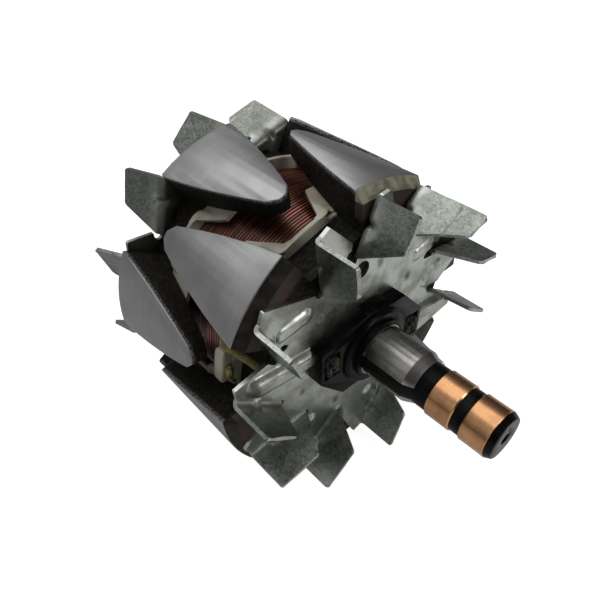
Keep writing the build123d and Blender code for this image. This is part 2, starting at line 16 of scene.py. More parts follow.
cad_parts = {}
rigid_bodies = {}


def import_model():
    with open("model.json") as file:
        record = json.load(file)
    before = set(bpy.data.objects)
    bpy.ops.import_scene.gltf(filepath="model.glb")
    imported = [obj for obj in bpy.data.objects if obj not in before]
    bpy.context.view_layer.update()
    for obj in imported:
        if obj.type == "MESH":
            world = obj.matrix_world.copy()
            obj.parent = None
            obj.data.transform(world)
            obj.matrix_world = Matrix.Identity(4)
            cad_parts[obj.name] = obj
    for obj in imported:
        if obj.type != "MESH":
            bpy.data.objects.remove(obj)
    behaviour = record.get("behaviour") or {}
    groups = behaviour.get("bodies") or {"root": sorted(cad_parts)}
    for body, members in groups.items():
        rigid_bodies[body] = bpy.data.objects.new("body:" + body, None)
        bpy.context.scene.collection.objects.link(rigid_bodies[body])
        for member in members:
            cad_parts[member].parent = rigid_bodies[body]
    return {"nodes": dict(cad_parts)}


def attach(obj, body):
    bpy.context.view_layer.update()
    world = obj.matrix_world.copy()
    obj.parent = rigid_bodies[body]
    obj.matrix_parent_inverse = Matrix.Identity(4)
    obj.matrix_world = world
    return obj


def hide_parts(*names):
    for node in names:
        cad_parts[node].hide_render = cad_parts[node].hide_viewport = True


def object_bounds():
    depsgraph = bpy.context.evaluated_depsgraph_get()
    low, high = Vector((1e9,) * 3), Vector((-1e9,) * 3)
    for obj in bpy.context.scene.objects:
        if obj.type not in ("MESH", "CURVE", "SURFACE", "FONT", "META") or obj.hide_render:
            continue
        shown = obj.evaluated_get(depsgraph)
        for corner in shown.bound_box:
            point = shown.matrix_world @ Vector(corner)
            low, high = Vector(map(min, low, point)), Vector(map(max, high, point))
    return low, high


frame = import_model()
cad_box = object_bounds()
MM = 0.001
scene_objects = bpy.context.scene.collection.objects
print("CAD nodes:", sorted(frame["nodes"]))

# %% [markdown]
# ## Camera
# The camera's place was worked out from points whose sizes are known: the ring edges, the bearing seat
# and the claw tips. A Blender camera looks along its own -Z with +Y up, so the columns of its matrix are
# the picture's right, its up, and the way back towards the photographer.

# %% Camera
picture_right = np.array([0.66611, 0.74585, 0.0])
picture_down = np.array([0.48882, -0.43656, -0.75530])
forward = np.cross(picture_right, picture_down)
camera_place = np.array([110.435, -97.577, 122.760]) * MM

camera_data = bpy.data.cameras.new("camera")
camera_data.sensor_width = 36.0
camera_data.lens = 33.67
camera_data.shift_y = 0.0014
camera_data.clip_start = 0.01
camera = bpy.data.objects.new("camera", camera_data)
scene_objects.link(camera)
turn = np.eye(4)
turn[:3, :3] = np.stack([picture_right, -picture_down, -forward], axis=1)
camera.matrix_world = Matrix.Translation(Vector(camera_place)) @ Matrix(turn.tolist())
bpy.context.scene.camera = camera
print("camera looks along", np.round(forward, 3))

# %% [markdown]
# ## Wiring shader nodes
# Every finish here is a graph of nodes. A few small helpers keep those graphs readable. One opens an empty
# graph for a material or the world, one adds a node and feeds its inputs in the same line, and the rest
# name the sums used most. An input is named by its label, with underscores for spaces, or by its number
# after a letter, as in i0.

# %% Node helpers
def empty_tree(owner):
    """The node graph of a material or a world, with nothing in it."""
    owner.use_nodes = True
    owner.node_tree.nodes.clear()
    return owner.node_tree


def feed(tree, socket, value):
    """Link a socket to another node's output, or give it a number or a colour of its own."""
    if isinstance(value, bpy.types.NodeSocket):
        tree.links.new(value, socket)
    else:
        socket.default_value = value


def add(tree, kind, settings=None, **inputs):
    """Add one node. Each input takes a number, a colour, or another node's output socket."""
    node = tree.nodes.new("ShaderNode" + kind)
    for name, value in (settings or {}).items():
        setattr(node, name, value)
    for name, value in inputs.items():
        label = int(name[1:]) if name[1:].isdigit() else name.replace("_", " ")
        feed(tree, node.inputs[label], value)
    return node


def maths(tree, operation, *values):
    """One sum on numbers: the output socket of a Math node."""
    node = add(tree, "Math", {"operation": operation})
    for socket, value in zip(node.inputs, values):
        feed(tree, socket, value)
    return node.outputs[0]


def times(tree, value, factor):
    """A value times a factor."""
    return maths(tree, "MULTIPLY", value, factor)


def climb_from(tree, start, value, slope):
    """A start, plus a value times a slope."""
    return maths(tree, "MULTIPLY_ADD", value, slope, start)


def blend(tree, share, first, second):
    """Mix two colours by a share: the colour socket."""
    return add(tree, "Mix", {"data_type": "RGBA"}, i0=share, i6=first, i7=second).outputs[2]


def blend_numbers(tree, share, first, second):
    """Mix two numbers by a share."""
    return add(tree, "Mix", i0=share, i2=first, i3=second).outputs[0]


def between(tree, value, low, high, start=0.0, end=1.0):
    """Where a value lies between low and high, smoothed, as start to end."""
    steps = {"interpolation_type": "SMOOTHSTEP"}
    return add(tree, "MapRange", steps, Value=value, i1=low, i2=high, i3=start, i4=end).outputs[0]


def mark_on_points(tree, name):
    """A number that is kept on the mesh's points."""
    return add(tree, "Attribute", {"attribute_name": name}).outputs["Fac"]


def camera_and_mirrors(tree):
    """Two masks: for rays from the camera, and for rays that a mirror or a glass sends on."""
    ray = add(tree, "LightPath").outputs
    return ray["Is Camera Ray"], maths(tree, "MAXIMUM", ray["Is Glossy Ray"], ray["Is Transmission Ray"])


def close_sum(tree, first, second, output):
    """Add two shaders and send the sum to the output."""
    both = add(tree, "AddShader", i0=first.outputs[0], i1=second.outputs[0])
    tree.links.new(both.outputs[0], tree.nodes.new("ShaderNodeOutput" + output).inputs[0])


def grey(level, warm=0.0):
    """A neutral colour, a little warmer or cooler."""
    return (level * (1.0 + warm), level, level * (1.0 - warm), 1.0)


# %% [markdown]
# ## Floor, sky and lamps
# Bare metal shows its surroundings more than its own colour, so the surroundings do most of the work.
# The sky is bright overhead and falls to dark at the horizon, as in a photographer's tent with its sides
# open, and that gives each turned surface a light side and a dark side. The camera itself sees it white.
# The floor is pale and glows for camera and mirror rays alone, which lights nothing, so it looks white
# and still takes the rotor's shadow.

# %% Sky
world = bpy.data.worlds.new("studio")
bpy.context.scene.world = world
tree = empty_tree(world)
towards_window = add(tree, "VectorMath", {"operation": "DOT_PRODUCT"},
                     i0=add(tree, "TexCoord").outputs["Generated"],
                     i1=Vector((-0.42, -0.12, 0.88)).normalized())
sky = add(tree, "ValToRGB", i0=climb_from(tree, 0.5, towards_window.outputs["Value"], 0.5))
sky.color_ramp.elements.new(0.80)
sky_colours = ((0.50, grey(0.035)), (0.80, grey(0.15)), (0.93, grey(0.74, -0.01)))
for element, (position, colour) in zip(sky.color_ramp.elements, sky_colours):
    element.position = position
    element.color = colour
for_camera, mirrored = camera_and_mirrors(tree)
light = add(tree, "Background", Color=sky.outputs[0])
backdrop = add(tree, "Background", Color=grey(1.0), Strength=climb_from(tree, for_camera, mirrored, 0.02))
close_sum(tree, light, backdrop, "World")

# %% Floor
floor_height = cad_box[0][2]
floor_corners = np.array([(-1, -1, 0), (1, -1, 0), (1, 1, 0), (-1, 1, 0)]) * 6.0 + (0, 0, floor_height)
floor_mesh = bpy.data.meshes.new("floor")
floor_mesh.from_pydata(floor_corners.tolist(), [], [(0, 1, 2, 3)])
floor = bpy.data.objects.new("floor", floor_mesh)
scene_objects.link(floor)

floor_material = bpy.data.materials.new("white floor")
tree = empty_tree(floor_material)
for_camera, mirrored = camera_and_mirrors(tree)
along_floor = add(tree, "SeparateXYZ", i0=add(tree, "TexCoord").outputs["Object"]).outputs["X"]
mirrored_glow = times(tree, mirrored, between(tree, along_floor, 0.01, 0.09, 0.06, 0.45))
matt = add(tree, "BsdfDiffuse", Color=grey(0.55))
glow = add(tree, "Emission", Strength=climb_from(tree, mirrored_glow, for_camera, 0.90))
close_sum(tree, matt, glow, "Material")
floor.data.materials.append(floor_material)


# %% Lamps
def soft_lamp(name, place, size, power, colour=(1.0, 1.0, 1.0)):
    """A square area lamp at a place in metres, turned to face the middle of the rotor."""
    data = bpy.data.lights.new(name, "AREA")
    data.shape = "SQUARE"
    data.size = size
    data.energy = power
    data.color = colour
    lamp = bpy.data.objects.new(name, data)
    scene_objects.link(lamp)
    facing = Vector(place).to_track_quat("Z", "Y").to_matrix().to_4x4()
    lamp.matrix_world = Matrix.Translation(place) @ facing


soft_lamp("overhead lamp", (-0.26, 0.0, 0.75), 0.80, 2.6)
soft_lamp("side lamp", (0.75, 0.25, 0.35), 0.25, 1.5)
soft_lamp("left lamp", (-0.30, -0.65, 0.30), 0.45, 0.26, (0.97, 0.99, 1.0))
bpy.context.scene.view_settings.view_transform = "Standard"
print("floor at", round(floor_height, 4), "m, 3 lamps")

# %% [markdown]
# ## Surfaces from arrays
# Nearly everything on this rotor is a sheet or a turned body, so two makers cover it. One takes an array
# of points laid out on a grid, rows by columns, and joins neighbours into faces. The other turns a profile
# about the shaft. Neither loops over points: numpy works out whole arrays, and the faces of a grid are four
# shifted copies of the same table of numbers.

# %% Points
def polar(radius, angle):
    """A place on the fan's plane, as (y, z), from a radius and an angle in degrees from the top."""
    turn = np.radians(angle)
    return np.stack([radius * np.sin(turn), radius * np.cos(turn)], axis=-1)


def full_turn(steps):
    """Angles all the way round in even steps. The last step, back to the start, is left out."""
    return np.linspace(0.0, 2.0 * np.pi, steps, endpoint=False)


def carried_round(x, radius, turn):
    """Points about the shaft: x stays, y is the radius times the sine and z times the cosine."""
    return np.stack(np.broadcast_arrays(x, radius * np.sin(turn), radius * np.cos(turn)), axis=-1)


def smooth_step(value, low, high):
    """0 below low and 1 above high, with an even curve between: 3 s squared less 2 s cubed."""
    share = np.clip((value - low) / (high - low), 0.0, 1.0)
    return share**2 * (3.0 - 2.0 * share)


def bell(distance, width):
    """A smooth hill, 1 in the middle and 0 beyond its width: half a cosine wave, squared."""
    return np.cos(0.5 * np.pi * np.clip(np.abs(distance) / width, 0.0, 1.0)) ** 2


# %% Meshes
def grid_faces(rows, columns, around_rows=False, around_columns=False, flip=False):
    """Faces of a grid: each takes a point, its neighbour, and the same two in the next row."""
    table = np.arange(rows * columns).reshape(rows, columns)
    if around_rows:
        table = np.concatenate([table, table[:1]], axis=0)
    if around_columns:
        table = np.concatenate([table, table[:, :1]], axis=1)
    faces = np.stack([table[:-1, :-1], table[:-1, 1:], table[1:, 1:], table[1:, :-1]], axis=-1).reshape(-1, 4)
    return faces[:, ::-1] if flip else faces


def write_mesh(name, points, faces, marks=None):
    """A mesh in metres from points in millimetres, with named numbers kept on its points."""
    mesh = bpy.data.meshes.new(name)
    mesh.from_pydata((np.asarray(points, float).reshape(-1, 3) * MM).tolist(), [], np.asarray(faces).tolist())
    for mark_name, values in (marks or {}).items():
        mark = mesh.attributes.new(mark_name, "FLOAT", "POINT")
        mark.data.foreach_set("value", np.asarray(values, np.float32).ravel())
    mesh.update()
    return mesh


def turned(name, x, radius, steps):
    """A closed profile carried round the shaft. The radius is one column, or a column for each angle."""
    points = carried_round(x, radius, full_turn(steps))
    return write_mesh(name, points, grid_faces(len(x), steps, True, True, True))


def sphere_grid(rows, columns):
    """The two angles of a ball's points, from its pole down and about its axis, and the ball's faces."""
    rise = np.linspace(0.0, np.pi, rows)[:, None]
    return rise, full_turn(columns)[None, :], grid_faces(rows, columns, False, True, True)


def smoothed(mesh, sharp=None):
    """Smooth shading, which leaves the edges sharper than an angle in degrees crisp."""
    mesh.shade_smooth()
    if sharp:
        mesh.set_sharp_from_angle(angle=np.radians(sharp))
    return mesh


# %% Pieces
def new_piece(name, mesh):
    """A mesh as an object in the scene."""
    piece = bpy.data.objects.new(name, mesh)
    scene_objects.link(piece)
    return piece


def round_edges(piece, width, segments, angle):
    """A bevel, its width in millimetres, on the edges sharper than an angle."""
    rounding = piece.modifiers.new("rounding", "BEVEL")
    rounding.width = width * MM
    rounding.segments = segments
    rounding.limit_method = "ANGLE"
    rounding.angle_limit = np.radians(angle)
    return rounding


def settle(piece, sharp):
    """Apply a piece's modifiers to its mesh, smooth it, and keep the edges sharper than an angle."""
    seen = piece.evaluated_get(bpy.context.evaluated_depsgraph_get())
    finished = bpy.data.meshes.new_from_object(seen)
    piece.modifiers.clear()
    piece.data = smoothed(finished, sharp)


def show(piece, material, replaces=None):
    """Put a finished piece or mesh in the scene: it rides with the rotor and takes a finish."""
    if isinstance(piece, bpy.types.Mesh):
        piece = new_piece(piece.name, piece)
    piece.data.materials.clear()
    piece.data.materials.append(material)
    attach(piece, "root")
    if replaces:
        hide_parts(*replaces)
    print(piece.name, len(piece.data.polygons), "faces")


def softened_copy(node_name, new_name, width, segments=2):
    """A CAD node's own surface with its corners rounded: doubles merged, flats joined, edges bevelled."""
    mesh = frame["nodes"][node_name].data.copy()
    mesh.name = new_name
    work = bmesh.new()
    work.from_mesh(mesh)
    bmesh.ops.remove_doubles(work, verts=work.verts, dist=2e-6)
    bmesh.ops.dissolve_limit(work, angle_limit=np.radians(0.8), verts=work.verts, edges=work.edges)
    work.to_mesh(mesh)
    work.free()
    piece = new_piece(new_name, mesh)
    round_edges(piece, width, segments, 32.0).harden_normals = True
    settle(piece, 50.0)
    return piece


# %% [markdown]
# ## Effects that several finishes share
# Real metal is never one even colour. Three effects do most of the work here, and each is a node group,
# so that one material can use it gently and another strongly. Turned lines are noise squeezed thin along
# the shaft, because a lathe's tool leaves a fine spiral. Grime is a soft blotchy noise. Scratches are
# noise drawn out long in a slanting direction, with only its highest peaks kept.

# %% Shared effects
def open_group(name, inputs, outputs):
    """A node group with named number inputs, a place in millimetres, and named number outputs."""
    group = bpy.data.node_groups.new(name, "ShaderNodeTree")
    group.interface.new_socket("Place", in_out="INPUT", socket_type="NodeSocketVector")
    for label, default in inputs.items():
        group.interface.new_socket(label, in_out="INPUT", socket_type="NodeSocketFloat").default_value = default
    for label in outputs:
        group.interface.new_socket(label, in_out="OUTPUT", socket_type="NodeSocketFloat")
    return group, group.nodes.new("NodeGroupInput").outputs, group.nodes.new("NodeGroupOutput").inputs


def squeezed(tree, place, along, across):
    """The place stretched by one number along the shaft and another across it."""
    factors = add(tree, "CombineXYZ", X=along, Y=across, Z=across)
    return add(tree, "VectorMath", {"operation": "MULTIPLY"}, i0=place, i1=factors.outputs[0]).outputs[0]


turned_lines, given, result = open_group("turned lines", {"Lines per mm": 4.0}, ["Lines", "Bands"])
fine = add(turned_lines, "TexNoise", i0=squeezed(turned_lines, given["Place"], given["Lines per mm"], 0.05),
           Scale=1.0, Detail=3.0, Roughness=0.7)
broad = add(turned_lines, "TexNoise", i0=squeezed(turned_lines, given["Place"], 0.5, 0.02),
            Scale=1.0, Detail=2.0)
turned_lines.links.new(fine.outputs[0], result["Lines"])
turned_lines.links.new(broad.outputs[0], result["Bands"])

grime, given, result = open_group(
    "grime and scratches", {"Patches per mm": 0.15}, ["Grime", "Scratches", "Grain"])
cloud = add(grime, "TexNoise", i0=given["Place"], Scale=given["Patches per mm"], Detail=3.0, Roughness=0.5)
slant = add(grime, "VectorRotate", {"rotation_type": "EULER_XYZ"}, Vector=given["Place"],
            Rotation=(0.4, 0.9, 0.5))
streak = add(grime, "TexNoise", i0=squeezed(grime, slant.outputs[0], 4.5, 0.22), Scale=1.0, Detail=2.0)
grain = add(grime, "TexNoise", i0=given["Place"], Scale=3.0, Detail=4.0, Roughness=0.7)
grime.links.new(between(grime, cloud.outputs[0], 0.42, 0.66), result["Grime"])
grime.links.new(between(grime, streak.outputs[0], 0.62, 0.70), result["Scratches"])
grime.links.new(grain.outputs[0], result["Grain"])

print("shared effects:", [group.name for group in bpy.data.node_groups])


# %% Starting and closing a material
def use(tree, group, place, **inputs):
    """Place a shared effect in a material: its outputs by name."""
    return add(tree, "Group", {"node_tree": group}, Place=place, **inputs).outputs


def start_material(name, patches):
    """A new material, its graph, its place in millimetres, and its grime at so many patches to one."""
    material = bpy.data.materials.new(name)
    tree = empty_tree(material)
    place = add(tree, "VectorMath", {"operation": "SCALE"},
                i0=add(tree, "TexCoord").outputs["Object"], Scale=1.0 / MM).outputs[0]
    return material, tree, place, use(tree, grime, place, Patches_per_mm=patches)


def radius_of(tree, place):
    """Distance from the shaft's axis, and the parts of the place."""
    parts = add(tree, "SeparateXYZ", i0=place).outputs
    across = add(tree, "CombineXYZ", Y=parts["Y"], Z=parts["Z"]).outputs[0]
    return add(tree, "VectorMath", {"operation": "LENGTH"}, i0=across).outputs["Value"], parts


def soiled(tree, colour, mask, amount, dirt):
    """A colour with dirt over it, where a mask says and as much as an amount says."""
    return blend(tree, times(tree, mask, amount), colour, dirt)


def bump(tree, height, depth):
    """A normal from a height. Depth is in millimetres."""
    return add(tree, "Bump", Height=height, Distance=depth * MM, Strength=1.0).outputs[0]


def fine_skin(tree, value, gloss, dulling, depth):
    """Inputs for a fine skin: where a value is high, the surface stands up by a depth and is duller."""
    return {"Roughness": climb_from(tree, gloss, value, dulling), "Normal": bump(tree, value, depth)}


def close_material(material, **inputs):
    """Add the shader and the output, with each input set or linked by name."""
    tree = material.node_tree
    shader = add(tree, "BsdfPrincipled", **inputs)
    tree.links.new(shader.outputs[0], tree.nodes.new("ShaderNodeOutputMaterial").inputs[0])
    return material


# %% [markdown]
# ## Steels
# The poles are forged, and only their outside is turned, together, once they are on the shaft. So one
# material has several skins, told apart by the distance from the axis and the place along the shaft: the
# turned outside is silver with fine lines round it, the shoulder's chamfer has old varnish with painted light
# on its lit side, the end face is stained, and everything else is dark scale, painted near black as painted
# shade, with bright flecks where the tool broke out at the corner. The shaft and the spacer are turned and
# ground all over.

# %% Pole steel
turned_from = 50.7       # radius beyond which a pole is turned
torn_from = 49.3         # radius beyond which its corner may be torn
chamfer_from = 47.7      # radius at which the end face meets the chamfer
face_from = 42.0         # radius inside which the end face keeps its scale
shoulder_at = 25.9       # along the shaft, where the chamfer starts


def pole_steel(name, side):
    """Turned outside, varnished chamfer with painted light on its lit side, stained end face and forged sides
    darkened as painted shade, told apart by place.
    """
    material, tree, place, marks = start_material(name, 0.12)
    radius, parts = radius_of(tree, place)
    lines = use(tree, turned_lines, place, Lines_per_mm=5.0)["Lines"]
    skin = use(tree, grime, place, Patches_per_mm=0.9)
    outside = between(tree, radius, turned_from, 50.85)
    shoulder = between(tree, times(tree, parts["X"], side), shoulder_at, 26.3)
    torn = times(tree, between(tree, radius, torn_from, 50.6), between(tree, skin["Grain"], 0.47, 0.57))

    turned_colour = blend(tree, between(tree, lines, 0.30, 0.72), grey(0.30), grey(0.36))
    turned_colour = soiled(tree, turned_colour, marks["Grime"], 0.30, grey(0.22, 0.03))
    # Forged sides: dark scale, made near black as painted shade.
    lower = blend(tree, skin["Grime"], grey(0.002, 0.15), grey(0.018, 0.30))
    lower = blend(tree, between(tree, skin["Grain"], 0.64, 0.76), lower, grey(0.08, 0.1))
    lower = blend(tree, torn, lower, grey(0.46, 0.04))
    if side > 0:
        stain = use(tree, grime, place, Patches_per_mm=0.22)["Grime"]
        # Painted light: the chamfer's varnish is pale on its lit side, towards +Y, and near black beyond it.
        lit_side = between(tree, parts["Y"], -22.0, -6.0)
        varnish = blend(tree, lit_side, grey(0.010, 0.25), (0.33, 0.32, 0.23, 1.0))
        varnish = soiled(tree, varnish, stain, 0.6, (0.05, 0.035, 0.025, 1.0))
        end_face = blend(tree, stain, (0.055, 0.052, 0.046, 1.0), (0.075, 0.038, 0.028, 1.0))
        varnish = blend(tree, between(tree, radius, chamfer_from, 47.9), end_face, varnish)
        lower = blend(tree, times(tree, shoulder, between(tree, radius, face_from, 44.0)), lower, varnish)

    height = blend_numbers(tree, outside, times(tree, skin["Grain"], climb_from(tree, 7.0, shoulder, -5.0)),
                           times(tree, lines, 0.16))
    return close_material(
        material, Base_Color=blend(tree, outside, lower, turned_colour),
        Metallic=maths(tree, "MAXIMUM", outside, climb_from(tree, 0.15, torn, 0.7)),
        Roughness=blend_numbers(tree, outside, 0.60, climb_from(tree, 0.40, lines, 0.12)),
        Specular_IOR_Level=0.2, Normal=bump(tree, height, 0.06))


rear_pole_steel = pole_steel("rear pole steel", 1.0)
front_pole_steel = pole_steel("front pole steel", -1.0)


# %% Ground steel
def ground_steel(name, light, dark, lines_per_mm):
    """Lathe-turned steel: lines and bands along the shaft change its colour and gloss."""
    material, tree, place, marks = start_material(name, 0.25)
    lines, bands = use(tree, turned_lines, place, Lines_per_mm=lines_per_mm)
    share = times(tree, between(tree, lines, 0.3, 0.7), between(tree, bands, 0.3, 0.6, 0.6, 1.0))
    colour = soiled(tree, blend(tree, share, dark, light), marks["Grime"], 0.25, grey(0.12, 0.15))
    return close_material(material, Base_Color=colour, Metallic=1.0,
                          **fine_skin(tree, lines, 0.22, 0.08, 0.003))


shaft_steel = ground_steel("ground shaft steel", grey(0.34, 0.03), grey(0.29, 0.03), 4.0)
spacer_steel = ground_steel("turned spacer steel", grey(0.34), grey(0.18), 2.0)
core_steel = ground_steel("turned core steel", grey(0.16, 0.05), grey(0.08, 0.05), 1.5)
print("steels:", [m.name for m in bpy.data.materials if "steel" in m.name])

# %% [markdown]
# ## Zinc-plated sheet
# The fans are pressed from mild steel sheet and zinc plated. Old zinc is grey with a faint yellow-green
# cast, spangled with small crystals that each catch the light in their own way, with dark stains on the flat,
# and painted dark in the bends as painted shade. The blades are painted darker than the flat, as painted
# shade, and the front fan darker than the rear. The sheet's cut edge is bare and bright. Cells of a Voronoi
# texture make the crystals. Two numbers kept on the mesh's points, the distance to the cut edge and the
# stain, which on the blades is painted shade in the bends, tell the rest.

# %% Zinc sheet
def zinc_sheet(name, light):
    """Plated sheet with crystals, grime, stains, painted shade in the bends and on the blades, and a bright cut
    edge. Light scales its colour; below 1 it is painted shade.
    """
    def spangled(dark, bright):
        return blend(tree, tone, *([light * part for part in colour] + [1.0] for colour in (dark, bright)))

    material, tree, place, marks = start_material(name, 0.16)
    crystal = add(tree, "TexVoronoi", Vector=place, Scale=1.7)
    tone = add(tree, "SeparateXYZ", i0=crystal.outputs["Color"]).outputs["X"]
    rim, stain = mark_on_points(tree, "rim"), mark_on_points(tree, "stain")
    along_shaft = maths(tree, "ABSOLUTE", add(tree, "SeparateXYZ", i0=place).outputs["X"])
    # Stain mark: real stains on the flat, and painted shade along the blades' bends.
    stain_and_bend_shade = times(tree, stain, between(tree, marks["Grain"], 0.30, 0.65, 0.75, 1.0))
    edge = times(tree, between(tree, rim, 0.12, 0.03), between(tree, marks["Grain"], 0.42, 0.62))

    colour = spangled((0.38, 0.395, 0.36), (0.46, 0.48, 0.44))
    colour = soiled(tree, colour, marks["Grime"], 0.55, (0.17, 0.18, 0.13, 1))
    # Painted shade: the blades' zinc is made darker than the flat's.
    painted_shade_blade_colour = spangled((0.11, 0.12, 0.10), (0.27, 0.29, 0.26))
    colour = blend(tree, between(tree, along_shaft, 31.0, 35.0, 0.0, 0.8), colour, painted_shade_blade_colour)
    colour = soiled(tree, colour, marks["Scratches"], 0.22, grey(0.60))
    colour = blend(tree, stain_and_bend_shade, colour, grey(0.03, 0.2))
    colour = soiled(tree, colour, edge, 0.6, grey(0.60))
    rough = climb_from(tree, climb_from(tree, 0.28, marks["Grime"], 0.12), tone, 0.08)
    soft = add(tree, "TexNoise", i0=place, Scale=0.3, Detail=1.0, Roughness=0.4).outputs[0]
    return close_material(
        material, Base_Color=colour, Metallic=climb_from(tree, 0.97, stain, -0.7),
        Roughness=climb_from(tree, rough, stain, 0.35), Normal=bump(tree, times(tree, soft, 6.0), 0.02))


rear_zinc = zinc_sheet("plated sheet, rear fan", 1.0)
# The front fan's zinc is scaled to 0.7 of the rear's: painted shade.
front_zinc = zinc_sheet("plated sheet, front fan", 0.7)

# %% [markdown]
# ## Copper, enamel and plastics
# Copper is seen twice: bare and turned on the slip rings, where the brushes polish it, and under red-brown
# enamel on the winding. The bobbin is ivory nylon, aged towards yellow. The moulding is a black plastic
# whose gloss comes and goes. The sleeves are woven glass soaked in yellow varnish: two crossed sets of
# ribs, drawn on the sleeve's own length and turn, which are kept on its points.

# %% Slip-ring copper
material, tree, place, marks = start_material("turned ring copper", 0.3)
lines = use(tree, turned_lines, place, Lines_per_mm=3.2)["Lines"]
copper_colour = blend(tree, between(tree, lines, 0.30, 0.70), (0.45, 0.235, 0.11, 1), (0.51, 0.275, 0.135, 1))
copper_colour = soiled(tree, copper_colour, marks["Grime"], 0.30, (0.22, 0.10, 0.06, 1))
ring_copper = close_material(
    material, Base_Color=copper_colour, Metallic=1.0, **fine_skin(tree, lines, 0.20, 0.08, 0.003))

# %% Bus-bar copper
material, tree, place, marks = start_material("tarnished conductor copper", 0.6)
bar_colour = blend(tree, marks["Grime"], (0.55, 0.28, 0.15, 1), (0.17, 0.09, 0.05, 1))
bar_copper = close_material(
    material, Base_Color=bar_colour, Metallic=0.95, **fine_skin(tree, marks["Grain"], 0.22, 0.3, 0.05))

# %% Winding enamel
material, tree, place, marks = start_material("winding enamel", 0.12)
turn_tone = add(tree, "TexNoise", i0=squeezed(tree, place, 1.2, 0.03), Scale=1.0, Detail=1.0).outputs[0]
# Painted shade: the grooves between the wires are coloured near black.
groove_shade = between(tree, mark_on_points(tree, "crest"), 0.97, 0.60, 0.0, 1.0)
wire_colour = blend(tree, between(tree, turn_tone, 0.3, 0.7), (0.09, 0.018, 0.010, 1), (0.34, 0.085, 0.038, 1))
wire_colour = blend(tree, groove_shade, wire_colour, (0.002, 0.001, 0.001, 1))
wire_colour = soiled(tree, wire_colour, marks["Grime"], 0.4, (0.05, 0.022, 0.015, 1))
wire_enamel = close_material(material, Base_Color=wire_colour, Metallic=0.75, Coat_Weight=0.5,
                             **fine_skin(tree, marks["Grain"], 0.18, 0.25, 0.02))

# %% Ivory bobbin
material, tree, place, marks = start_material("ivory nylon", 0.14)
ivory_colour = blend(tree, marks["Grain"], (0.42, 0.39, 0.31, 1), (0.50, 0.475, 0.39, 1))
ivory_nylon = close_material(
    material, Base_Color=soiled(tree, ivory_colour, marks["Grime"], 0.55, (0.22, 0.17, 0.10, 1)), Metallic=0.0,
    Subsurface_Weight=0.15, Subsurface_Scale=0.001, Roughness=climb_from(tree, 0.34, marks["Grime"], 0.25),
    Normal=bump(tree, marks["Grain"], 0.04))


# %% Black moulding
def black_plastic(name, low_gloss, high_gloss, bumps):
    """Black plastic whose gloss comes and goes, with a fine skin."""
    material, tree, place, marks = start_material(name, 0.22)
    colour = blend(tree, marks["Grime"], grey(0.002), grey(0.006, 0.06))
    return close_material(
        material, Base_Color=soiled(tree, colour, marks["Scratches"], 0.10, grey(0.06)), Metallic=0.0,
        Roughness=blend_numbers(tree, marks["Grain"], high_gloss, low_gloss), Specular_IOR_Level=0.07,
        Normal=bump(tree, marks["Grain"], bumps))


moulding_black = black_plastic("black moulding", 0.42, 0.20, 0.012)
resin_black = black_plastic("potting resin", 0.40, 0.08, 0.20)

# %% Soldered joint and set varnish
material, tree, place, marks = start_material("crumpled joint", 0.5)
on_fold = between(tree, mark_on_points(tree, "mound"), 0.95, 1.40)
bare = times(tree, on_fold, between(tree, marks["Grain"], 0.46, 0.62))
joint_colour = blend(tree, marks["Grime"], (0.20, 0.13, 0.04, 1), grey(0.26))
joint_metal = close_material(
    material, Base_Color=blend(tree, bare, grey(0.004, 0.1), joint_colour), Metallic=times(tree, bare, 0.9),
    Specular_IOR_Level=0.2, **fine_skin(tree, marks["Grain"], 0.15, 0.3, 0.05))

material, tree, place, marks = start_material("amber varnish", 0.6)
amber_colour = blend(tree, marks["Grime"], (0.30, 0.24, 0.05, 1), (0.10, 0.07, 0.02, 1))
amber_varnish = close_material(
    material, Base_Color=amber_colour, Metallic=0.0, **fine_skin(tree, marks["Grain"], 0.05, 0.2, 0.03))

# %% Woven sleeve
material, tree, place, marks = start_material("woven varnished sleeve", 0.5)
along = times(tree, mark_on_points(tree, "along"), 9.0)
around = times(tree, mark_on_points(tree, "around"), 12.0)
over, under = (maths(tree, "SINE", maths(tree, operation, along, around)) for operation in ("ADD", "SUBTRACT"))
weave = maths(tree, "MAXIMUM", over, under)
sleeve_colour = blend(tree, between(tree, weave, -0.4, 1.0), (0.13, 0.095, 0.02, 1), (0.44, 0.36, 0.12, 1))
woven_sleeve = close_material(
    material, Base_Color=soiled(tree, sleeve_colour, marks["Grime"], 0.5, (0.12, 0.08, 0.025, 1)), Metallic=0.0,
    Roughness=climb_from(tree, 0.38, marks["Grain"], 0.2), Normal=bump(tree, weave, 0.10))
print("materials:", len(bpy.data.materials))

# %% [markdown]
# ## Claw poles
# Each pole is one forging: a web on the shaft and six claws that reach over the coil. The CAD solid has
# the right shape, so its own surface is reused, and only its edges are rounded, because real edges catch a
# line of light and a knife-sharp one looks drawn. The copy is merged first: a CAD mesh is loose triangles.

# %% Claw poles
pole_rounding = 0.35
for end, material in (("rear", rear_pole_steel), ("front", front_pole_steel)):
    dressed = softened_copy(end + "_claw_pole", end + "_pole_dressed", pole_rounding)
    show(dressed, material, [end + "_claw_pole"])

# %% [markdown]
# ## The winding
# The field coil is one long enamelled wire, wound in even layers. Only the top layer shows, so it is one
# surface of two parameters: the way along the shaft and the turn about it. Across the coil the radius
# follows a row of half circles, one for each wire, and the whole row slides along by one wire in each
# turn, which makes it a true helix. How high a point is on its wire is kept as a mark for the material,
# which paints shade into the grooves between the wires.

# %% The winding
coil_half = 16.45        # half its length
coil_radius = 37.4       # just over the wires' crests
coil_floor = 27.7        # how far in its two end faces reach
wire_count = 29
wire_pitch = 2.0 * coil_half / wire_count
wire_radius = 0.5 * wire_pitch


